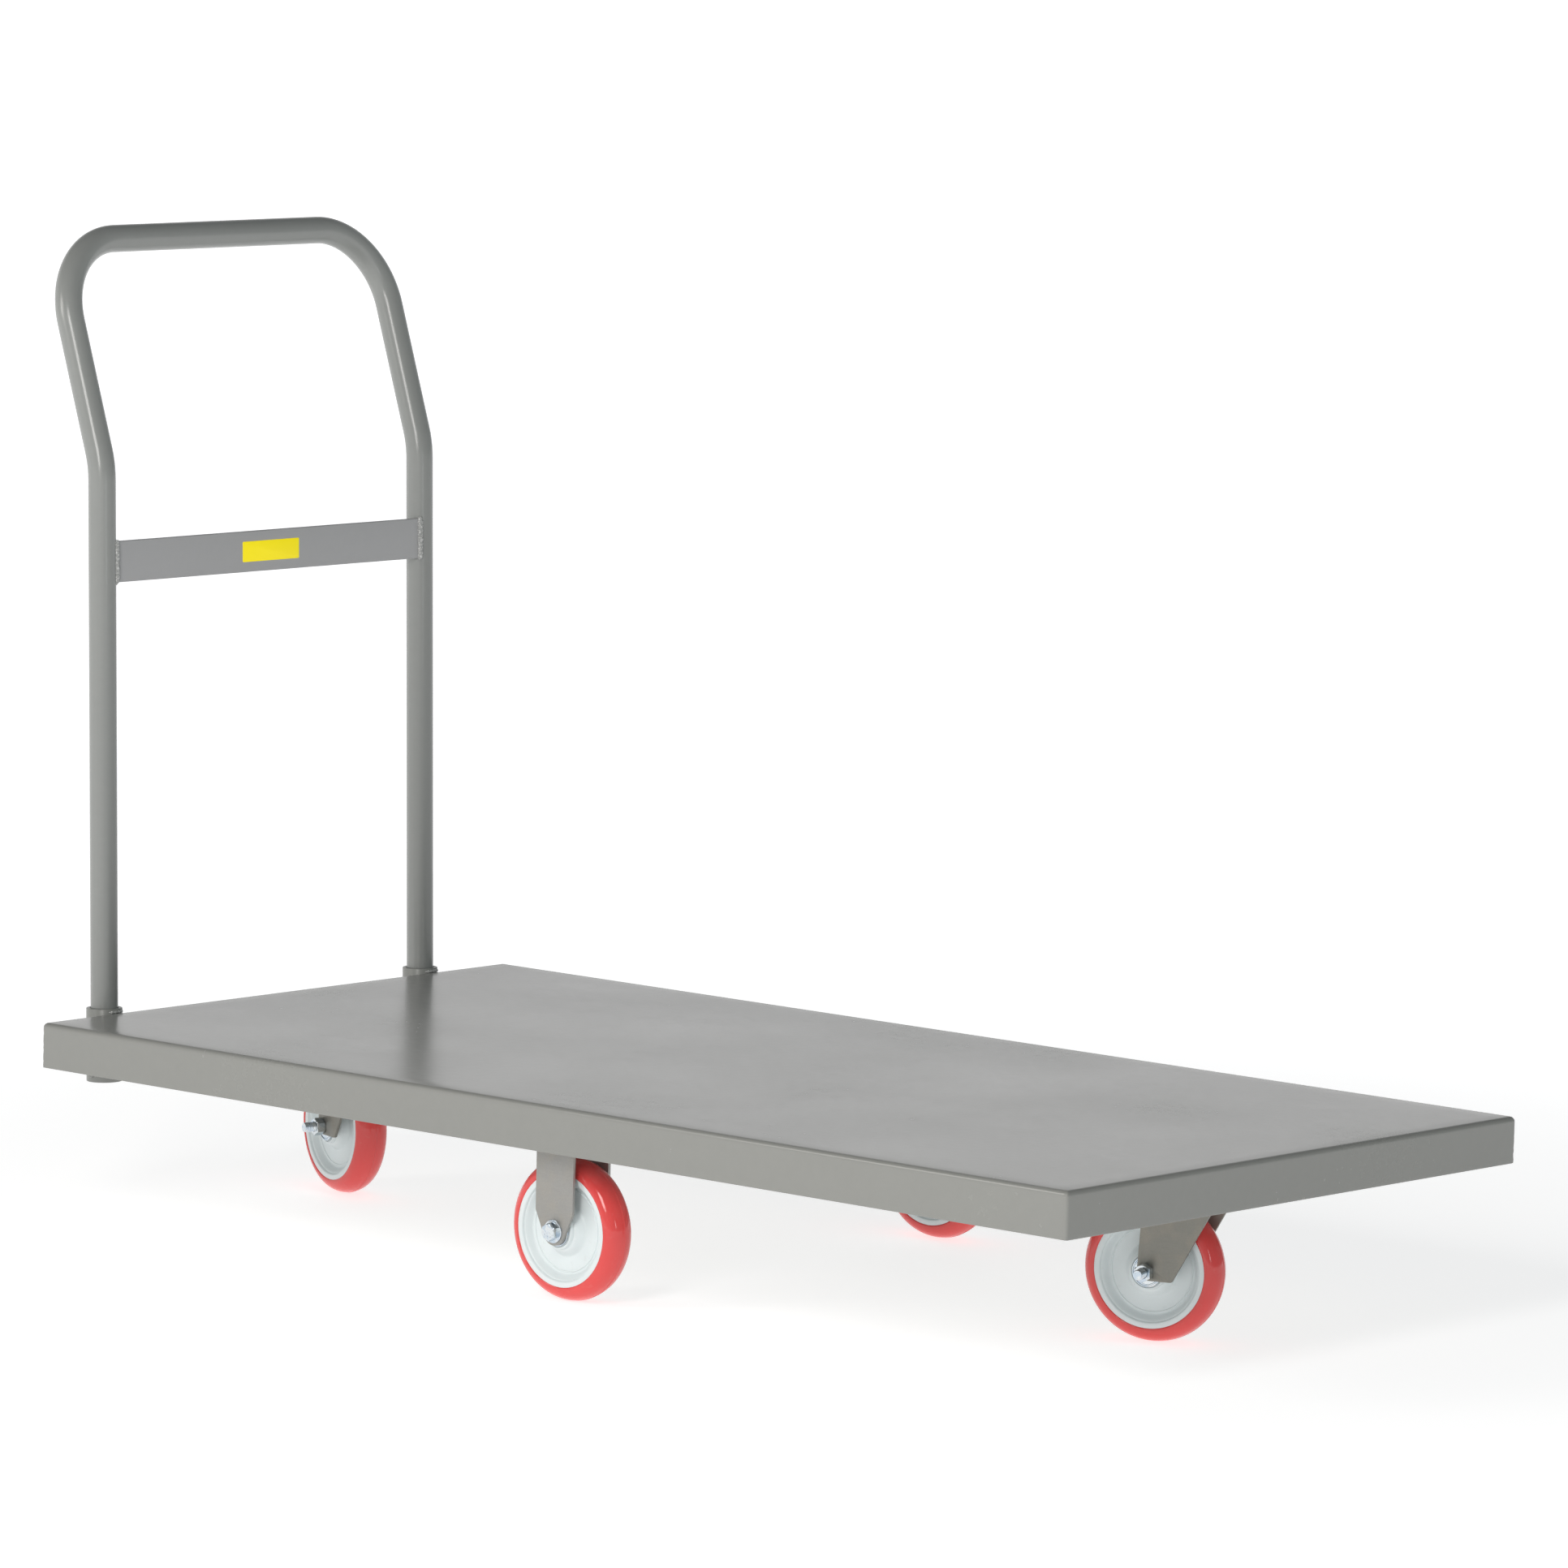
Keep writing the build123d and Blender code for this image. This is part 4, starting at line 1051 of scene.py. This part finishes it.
# %% Leaned frame of the posts
lean = Matrix.Rotation(-POST_RAKE, 4, "Y")
deck_level = foot + (knee - foot) * ((deck_high.z - foot.z) / (knee.z - foot.z))
LEANED = Matrix.Translation(deck_level) @ lean
brace_local = LEANED.inverted() @ centre_of("handle_cross_brace")
BRACE_HALF_HEIGHT = 19.05 * MM
BRACE_THICKNESS = 4.8 * MM
BRACE_FRONT = brace_local.x + BRACE_THICKNESS / 2
BRACE_BACK = brace_local.x - BRACE_THICKNESS / 2
BRACE_EDGE = 1.1 * MM
print("brace centre above the deck", round(brace_local.z, 4))


def reach_at(depth):
    """Distance from the middle plane to a post's skin at a depth from its axis."""
    return side - math.sqrt(TUBE_RADIUS ** 2 - depth ** 2)


# %% Cross brace
def brace_section():
    """Rounded rectangle of the flat bar, as (depth, height) points."""
    points = []
    corners_at = ((BRACE_FRONT, 1), (BRACE_BACK, 1), (BRACE_BACK, -1), (BRACE_FRONT, -1))
    for index, (depth, up) in enumerate(corners_at):
        forward = 1 if depth == BRACE_FRONT else -1
        centre = (depth - forward * BRACE_EDGE, up * (BRACE_HALF_HEIGHT - BRACE_EDGE))
        for step in range(5):
            angle = math.pi / 2 * (index + step / 4)
            points.append((centre[0] + BRACE_EDGE * math.cos(angle),
                           centre[1] + BRACE_EDGE * math.sin(angle)))
    return points


def cross_bar():
    section = brace_section()
    columns = 60
    vertices, faces = [], []
    for column in range(columns + 1):
        share = 2 * column / columns - 1
        for depth, height in section:
            y = share * (reach_at(depth) + 0.4 * MM)
            roll = noise.noise(Vector((y * 30, height * 20, depth * 10))) * 0.12 * MM
            edge = abs(height) / BRACE_HALF_HEIGHT
            lifted = height - math.copysign(abs(roll) * edge, height)
            vertices.append(LEANED @ Vector((depth, y, brace_local.z + lifted)))
    count = len(section)
    for column in range(columns):
        for index in range(count):
            a, b = column * count + index, column * count + (index + 1) % count
            faces.append((a, b, b + count, a + count))
    faces.append(tuple(range(count)))
    faces.append(tuple(columns * count + index for index in range(count)))
    return vertices, faces


settle(mesh_object("handle_flat_bar", *cross_bar()), "handle", BRACE_ENAMEL, ["handle_cross_brace"], 50)


# %% Blank label
def label_shape():
    half_length, half_height, thickness, corner = 37.0 * MM, 9.5 * MM, 0.28 * MM, 1.0 * MM
    outline = []
    for index, (sy, sz) in enumerate(((1, 1), (-1, 1), (-1, -1), (1, -1))):
        for step in range(5):
            angle = math.pi / 2 * (index + step / 4)
            outline.append((sy * (half_length - corner) + corner * math.cos(angle),
                            sz * (half_height - corner) + corner * math.sin(angle)))
    vertices = []
    for depth, shrink in ((0.0, 0.0), (thickness * 0.6, 0.0), (thickness, 0.12 * MM)):
        for y, z in outline:
            scale = 1 - shrink / half_height
            vertices.append(LEANED @ Vector((BRACE_FRONT + depth, y * scale, brace_local.z + z * scale)))
    count = len(outline)
    faces = [tuple(range(count)), tuple(2 * count + index for index in range(count))]
    for layer in (0, count):
        for index in range(count):
            after = (index + 1) % count
            faces.append((layer + index, layer + after, layer + after + count, layer + index + count))
    return vertices, faces


settle(mesh_object("blank_vinyl_label", *label_shape()), "handle", GLOWING_YELLOW_VINYL, ["blank_label"], 40)

# %% [markdown]
# ## Weld beads
# A bead is laid in overlapping pools, so its skin rises and falls every couple of
# millimetres. A Geometry Nodes tree does it for every weld on the truck: it takes
# centre lines, sweeps a circle along them, tapers the ends and pushes the skin in
# and out along the line. Each set of lines becomes one plain mesh.


# %% Weld bead tree
def weld_tree():
    tree = bpy.data.node_groups.new("weld_bead", "GeometryNodeTree")
    graph = Graph(tree)
    tree.interface.new_socket("Lines", in_out="INPUT", socket_type="NodeSocketGeometry")
    for name in ("Radius", "Pool length", "Ripple"):
        tree.interface.new_socket(name, in_out="INPUT", socket_type="NodeSocketFloat")
    tree.interface.new_socket("Finish", in_out="INPUT", socket_type="NodeSocketMaterial")
    tree.interface.new_socket("Bead", in_out="OUTPUT", socket_type="NodeSocketGeometry")
    lines = graph.add("NodeGroupInput", out="Lines")
    radius, pool, ripple = (graph.beside(lines, name) for name in ("Radius", "Pool length", "Ripple"))
    curve = graph.add("GeometryNodeMeshToCurve", inputs={"Mesh": lines})
    curve = graph.add("GeometryNodeResampleCurve", {"mode": "LENGTH"}, {"Curve": curve, "Length": pool / 5.0})
    along = graph.add("GeometryNodeSplineParameter", out="Length")
    factor = graph.beside(along, "Factor")
    kept = graph.add("GeometryNodeCaptureAttribute", {"captures": ["along"]}, {"Geometry": curve, 1: along})
    centred = graph.add("ShaderNodeMath", {"operation": "ABSOLUTE"}, {0: factor * 2.0 - 1.0})
    body = 1.0 - graph.add("ShaderNodeMath", {"operation": "POWER"}, {0: centred, 1: 9.0})
    plump = graph.add("ShaderNodeMath", {"operation": "SQRT"}, {0: body + 0.02})
    profile = graph.add("GeometryNodeCurvePrimitiveCircle", inputs={"Resolution": 14, "Radius": radius})
    swept = graph.add("GeometryNodeCurveToMesh",
                      inputs={"Curve": kept, "Profile Curve": profile, "Scale": plump, "Fill Caps": True})
    wander = graph.add("ShaderNodeTexNoise", inputs={"Scale": 260.0, "Detail": 1.0})
    phase = graph.beside(kept, 1) / pool + wander * 0.8
    wave = graph.add("ShaderNodeMath", {"operation": "SINE"}, {0: phase * math.tau})
    lump = graph.add("ShaderNodeTexNoise", inputs={"Scale": 420.0, "Detail": 2.0})
    push = (wave * 0.5 + (lump - 0.5) * 1.6 - 0.6) * ripple
    normal = graph.add("GeometryNodeInputNormal")
    offset = graph.add("ShaderNodeVectorMath", {"operation": "SCALE"}, {0: normal, "Scale": push})
    moved = graph.add("GeometryNodeSetPosition", inputs={"Geometry": swept, "Offset": offset})
    real = graph.add("GeometryNodeRealizeInstances", inputs={"Geometry": moved})
    painted = graph.add("GeometryNodeSetMaterial",
                        inputs={"Geometry": real, "Material": graph.beside(lines, "Finish")})
    graph.add("NodeGroupOutput", inputs={0: painted})
    return tree


WELD_TREE = weld_tree()


def grown(tree, source, values):
    """Run a tree on an object and return the result as a plain mesh object."""
    modifier = source.modifiers.new("grow", "NODES")
    modifier.node_group = tree
    for item in tree.interface.items_tree:
        if item.item_type == "SOCKET" and item.in_out == "INPUT" and item.name in values:
            modifier[item.identifier] = values[item.name]
    bpy.context.view_layer.update()
    graph = bpy.context.evaluated_depsgraph_get()
    mesh = bpy.data.meshes.new_from_object(source.evaluated_get(graph))
    source.modifiers.remove(modifier)
    bpy.data.objects.remove(source)
    return mesh


def weld_beads(name, lines, radius, pool, ripple, body, finish, stands_for=()):
    vertices, edges = [], []
    for line in lines:
        start = len(vertices)
        vertices.extend(tuple(point) for point in line)
        edges.extend((start + index, start + index + 1) for index in range(len(line) - 1))
    mesh = bpy.data.meshes.new(name + "_lines")
    mesh.from_pydata(vertices, edges, [])
    source = bpy.data.objects.new(name + "_lines", mesh)
    bpy.context.scene.collection.objects.link(source)
    bead = grown(WELD_TREE, source,
                 {"Radius": radius, "Pool length": pool, "Ripple": ripple, "Finish": finish})
    bead.name = name
    obj = bpy.data.objects.new(name, bead)
    bpy.context.scene.collection.objects.link(obj)
    return settle(obj, body, finish, stands_for, 60)


# %% Welds on the brace, sockets, channels and corners
def leaned_line(points):
    return [LEANED @ Vector(point) for point in points]


brace_lines = []
for hand in (-1, 1):
    for depth, overrun in ((BRACE_FRONT, 2.2), (BRACE_BACK, 0.2)):
        y = hand * (reach_at(depth) - 0.2 * MM)
        top = BRACE_HALF_HEIGHT + overrun * MM
        brace_lines.append(leaned_line([(depth, y, brace_local.z + top * share)
                                        for share in (-1, -0.3, 0.3, 1)]))
weld_beads("brace_bead", brace_lines, 3.4 * MM, 4.2 * MM, 0.7 * MM, "handle", WELD_ENAMEL,
           ["cross_brace_welds"])

SOCKET_RADIUS = 16.7 * MM
socket_lines = []
for hand in (-1, 1):
    centre_y = hand * side
    for aside in (-1, 1):
        y = centre_y + aside * 11.2 * MM
        socket_lines.append([Vector((deck_low.x - 2.0 * MM, y, z)) for z in
                             (deck_low.z + 4 * MM, deck_low.z + 18 * MM, deck_high.z - 8 * MM)])
weld_beads("socket_bead", socket_lines, 3.4 * MM, 4.6 * MM, 0.5 * MM, "frame", WELD_ENAMEL, ["socket_welds"])

tack_lines = []
for hand in (-1, 1):
    arc = []
    for step in range(7):
        angle = math.radians(-30 + 10 * step)
        reach = SOCKET_RADIUS + 0.5 * MM
        arc.append((reach * math.cos(angle), hand * side + reach * math.sin(angle), 0.2 * MM))
    tack_lines.append(leaned_line(arc))
weld_beads("socket_top_tack", tack_lines, 1.6 * MM, 3.6 * MM, 0.6 * MM, "frame", WELD_ENAMEL)

STITCH_HALF = 16.0 * MM
stitch_lines = []
channel_low, channel_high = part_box("middle_cross_channel")
pitch = (channel_high.y - channel_low.y) / 5
for where in ("rear", "middle", "front"):
    low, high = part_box(f"{where}_cross_channel")
    for x, out in ((low.x, -1), (high.x, 1)):
        for index in range(-2, 3):
            stitch_x, stitch_z = x + out * 0.6 * MM, high.z - 0.6 * MM
            stitch_lines.append([Vector((stitch_x, index * pitch + share * STITCH_HALF, stitch_z))
                                 for share in (-1, 0, 1)])
weld_beads("channel_stitches", stitch_lines, 2.2 * MM, 3.4 * MM, 0.4 * MM, "frame", WELD_ENAMEL,
           ["channel_stitch_welds"])

corner_lines = []
for sx in (-1, 1):
    for sy in (-1, 1):
        x = deck_centre.x + sx * (flat_half_x + FOLD_RADIUS - DECK_SHEET - 0.6 * MM)
        y = deck_centre.y + sy * (flat_half_y + FOLD_RADIUS - DECK_SHEET - 0.6 * MM)
        heights = (deck_low.z + 2 * MM, deck_low.z + 16 * MM, deck_high.z - 5 * MM)
        corner_lines.append([Vector((x, y, z)) for z in heights])
weld_beads("inner_corner_bead", corner_lines, 2.0 * MM, 3.4 * MM, 0.35 * MM, "frame", WELD_ENAMEL)

# %% [markdown]
# ## Sockets and stop pins
# Each socket is a short length of pipe, saw-cut at both ends, with the post standing
# on a pin through its lower end.


# %% Sockets and pins
def socket_shape(hand):
    inner = 13.32 * MM
    top, bottom, soft = 3.0 * MM, -65.0 * MM, 0.7 * MM
    outline = [(inner, bottom + soft), (inner + soft * 0.3, bottom + soft * 0.3), (inner + soft, bottom),
               (SOCKET_RADIUS - soft, bottom), (SOCKET_RADIUS - soft * 0.3, bottom + soft * 0.3),
               (SOCKET_RADIUS, bottom + soft), (SOCKET_RADIUS, top - soft),
               (SOCKET_RADIUS - soft * 0.3, top - soft * 0.3), (SOCKET_RADIUS - soft, top),
               (inner + soft, top), (inner + soft * 0.3, top - soft * 0.3), (inner, top - soft)]
    return placed(lathe(outline, 72), LEANED @ Matrix.Translation((0, hand * side, 0)))


for name, hand in (("left", 1), ("right", -1)):
    settle(mesh_object(f"{name}_pipe_socket", *socket_shape(hand)), "frame", FRAME_ENAMEL,
           [f"{name}_handle_socket"], 50)


def pin_shape(hand):
    radius, half, soft = 3.2 * MM, 18.2 * MM, 0.8 * MM
    outline = [(0.0001 * MM, -half), (radius - soft, -half), (radius, -half + soft), (radius, half - soft),
               (radius - soft, half), (0.0001 * MM, half)]
    lie = Matrix.Translation((0, hand * side, -57.5 * MM)) @ Matrix.Rotation(math.pi / 2, 4, "X")
    return placed(lathe(outline, 32), LEANED @ lie)


stop_pins = mesh_object("stop_pins", *together(pin_shape(-1), pin_shape(1)))
settle(stop_pins, "frame", FRAME_ENAMEL, ["handle_stop_pins"])

# %% [markdown]
# ## Caster bolts and bearings
# The same bolt and nut hold every caster plate, so they are placed by a Geometry
# Nodes tree that copies one part to each point of a small cloud. The loose balls of
# the two races come from a second tree that sets them round a circle.


# %% Copies tree
def copies_tree():
    tree = bpy.data.node_groups.new("copies_at_points", "GeometryNodeTree")
    graph = Graph(tree)
    tree.interface.new_socket("Places", in_out="INPUT", socket_type="NodeSocketGeometry")
    tree.interface.new_socket("Part", in_out="INPUT", socket_type="NodeSocketObject")
    tree.interface.new_socket("Seed", in_out="INPUT", socket_type="NodeSocketInt")
    tree.interface.new_socket("Finish", in_out="INPUT", socket_type="NodeSocketMaterial")
    tree.interface.new_socket("Copies", in_out="OUTPUT", socket_type="NodeSocketGeometry")
    places = graph.add("NodeGroupInput", out="Places")
    part = graph.add("GeometryNodeObjectInfo", inputs={"Object": graph.beside(places, "Part")},
                     out="Geometry")
    spin = graph.add("FunctionNodeRandomValue",
                     inputs={2: 0.0, 3: math.tau, "Seed": graph.beside(places, "Seed")}, out=1)
    turned = graph.add("ShaderNodeCombineXYZ", inputs={"Z": spin})
    copies = graph.add("GeometryNodeInstanceOnPoints",
                       inputs={"Points": places, "Instance": part, "Rotation": turned})
    real = graph.add("GeometryNodeRealizeInstances", inputs={"Geometry": copies})
    painted = graph.add("GeometryNodeSetMaterial",
                        inputs={"Geometry": real, "Material": graph.beside(places, "Finish")})
    graph.add("NodeGroupOutput", inputs={0: painted})
    return tree


COPIES_TREE = copies_tree()
MOUNT_X, MOUNT_Y = 42.1 * MM, 35.7 * MM


def mount_places(height):
    places = []
    for plate in ("left_rigid_plate", "right_rigid_plate", "front_swivel_plate", "rear_swivel_plate"):
        centre = centre_of(plate)
        places += [(centre.x + sx * MOUNT_X, centre.y + sy * MOUNT_Y, height)
                   for sx in (-1, 1) for sy in (-1, 1)]
    return places


def copied(name, shape, places, seed, finish, stands_for):
    part = mesh_object(name + "_part", *shape)
    cloud = bpy.data.meshes.new(name + "_places")
    cloud.from_pydata(places, [], [])
    source = bpy.data.objects.new(name + "_places", cloud)
    bpy.context.scene.collection.objects.link(source)
    mesh = grown(COPIES_TREE, source, {"Part": part, "Seed": seed, "Finish": finish})
    mesh.name = name
    bpy.data.objects.remove(part)
    obj = bpy.data.objects.new(name, mesh)
    bpy.context.scene.collection.objects.link(obj)
    return settle(obj, "frame", finish, stands_for, 25)


# %% Caster bolts and nuts
plate_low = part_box("right_rigid_plate")[0]
bolts_low, bolts_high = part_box("caster_mount_bolts")
NUT_DEPTH = 6.8 * MM
SHANK_RADIUS = 3.95 * MM


def round_headed_bolt():
    height = 4.2 * MM
    radius = 8.5 * MM
    top = bolts_high.z
    dome = [(0.0001 * MM, top)]
    for step in range(1, 9):
        angle = math.pi / 2 * step / 8
        dome.append((radius * math.sin(angle), top - height * 0.75 * (1 - math.cos(angle))))
    dome += [(radius, top - height), (0.0001 * MM, top - height)]
    shank_start = plate_low.z + 1 * MM
    shank_end = top - height * 0.9
    shank = lathe([(0.0001 * MM, shank_start), (SHANK_RADIUS, shank_start), (SHANK_RADIUS, shank_end),
                   (0.0001 * MM, shank_end)], 20)
    thread = threaded_rod(SHANK_RADIUS, bolts_low.z, shank_start + 0.5 * MM, 1.41 * MM, 0.6 * MM, steps=18)
    flipped = [Vector((v.x, -v.y, shank_start + 0.5 * MM + bolts_low.z - v.z)) for v in thread[0]]
    return together(lathe(dome, 32), shank, (flipped, thread[1]))


copied("caster_bolts", round_headed_bolt(), mount_places(0), 3, ZINC, ["caster_mount_bolts"])
nut = hexagon_shape(12.7 * MM, plate_low.z - NUT_DEPTH, plate_low.z, SHANK_RADIUS, steps=48)
copied("caster_nuts", nut, mount_places(0), 8, ZINC, ["caster_mount_nuts"])


# %% Ball races tree
def ball_tree():
    tree = bpy.data.node_groups.new("ball_race", "GeometryNodeTree")
    graph = Graph(tree)
    tree.interface.new_socket("Unused", in_out="INPUT", socket_type="NodeSocketGeometry")
    for name in ("Race radius", "Ball radius"):
        tree.interface.new_socket(name, in_out="INPUT", socket_type="NodeSocketFloat")
    tree.interface.new_socket("Balls", in_out="INPUT", socket_type="NodeSocketInt")
    tree.interface.new_socket("Centre", in_out="INPUT", socket_type="NodeSocketVector")
    tree.interface.new_socket("Finish", in_out="INPUT", socket_type="NodeSocketMaterial")
    tree.interface.new_socket("Race", in_out="OUTPUT", socket_type="NodeSocketGeometry")
    given = graph.add("NodeGroupInput", out="Race radius")
    ball_radius, balls, centre, finish = (graph.beside(given, name)
                                          for name in ("Ball radius", "Balls", "Centre", "Finish"))
    circle = graph.add("GeometryNodeMeshCircle", inputs={"Vertices": balls, "Radius": given})
    ball = graph.add("GeometryNodeMeshUVSphere", inputs={"Segments": 18, "Rings": 10, "Radius": ball_radius})
    copies = graph.add("GeometryNodeInstanceOnPoints", inputs={"Points": circle, "Instance": ball})
    real = graph.add("GeometryNodeRealizeInstances", inputs={"Geometry": copies})
    moved = graph.add("GeometryNodeTransform", inputs={"Geometry": real, "Translation": centre})
    painted = graph.add("GeometryNodeSetMaterial", inputs={"Geometry": moved, "Material": finish})
    graph.add("NodeGroupOutput", inputs={0: painted})
    return tree


BALL_TREE = ball_tree()
for where in SWIVEL_ENDS:
    for race in ("upper", "lower"):
        node = f"{where}_{race}_balls"
        extent = size_of(node)
        race_radius = (max(extent.x, extent.y) - extent.z) / 2
        count = int(2 * math.pi * race_radius / (extent.z + 1 * MM))
        seed_mesh = bpy.data.meshes.new(node + "_seed")
        seed = bpy.data.objects.new(node + "_seed", seed_mesh)
        bpy.context.scene.collection.objects.link(seed)
        mesh = grown(BALL_TREE, seed,
                     {"Race radius": race_radius, "Ball radius": extent.z / 2, "Balls": count,
                      "Centre": centre_of(node), "Finish": BEARING_STEEL})
        mesh.name = node + "_steel"
        balls = bpy.data.objects.new(node + "_steel", mesh)
        bpy.context.scene.collection.objects.link(balls)
        settle(balls, "frame", BEARING_STEEL, [node], 60)


# %% Remaining engineering pieces
for where in SWIVEL_ENDS:
    softened([f"{where}_lower_race"], f"{where}_lower_race_steel", "frame", BEARING_STEEL, 0.3 * MM)
    softened([f"{where}_kingpin_nut"], f"{where}_kingpin_nut_zinc", "frame", ZINC, 0.3 * MM)
    softened([f"{where}_span_bushing"], f"{where}_bushing_steel", f"{where}_fork", BEARING_STEEL, 0.2 * MM)
softened(["rigid_span_bushings"], "rigid_bushings_steel", "frame", BEARING_STEEL, 0.2 * MM)
for wheel, body in WHEELS.items():
    softened([f"{wheel}_roller_bearing"], f"{wheel}_bearing_steel", body, BEARING_STEEL, 0.15 * MM)

shown = [name for name, node in frame["nodes"].items() if not node.hide_render]
print("engineering nodes still showing:", shown)
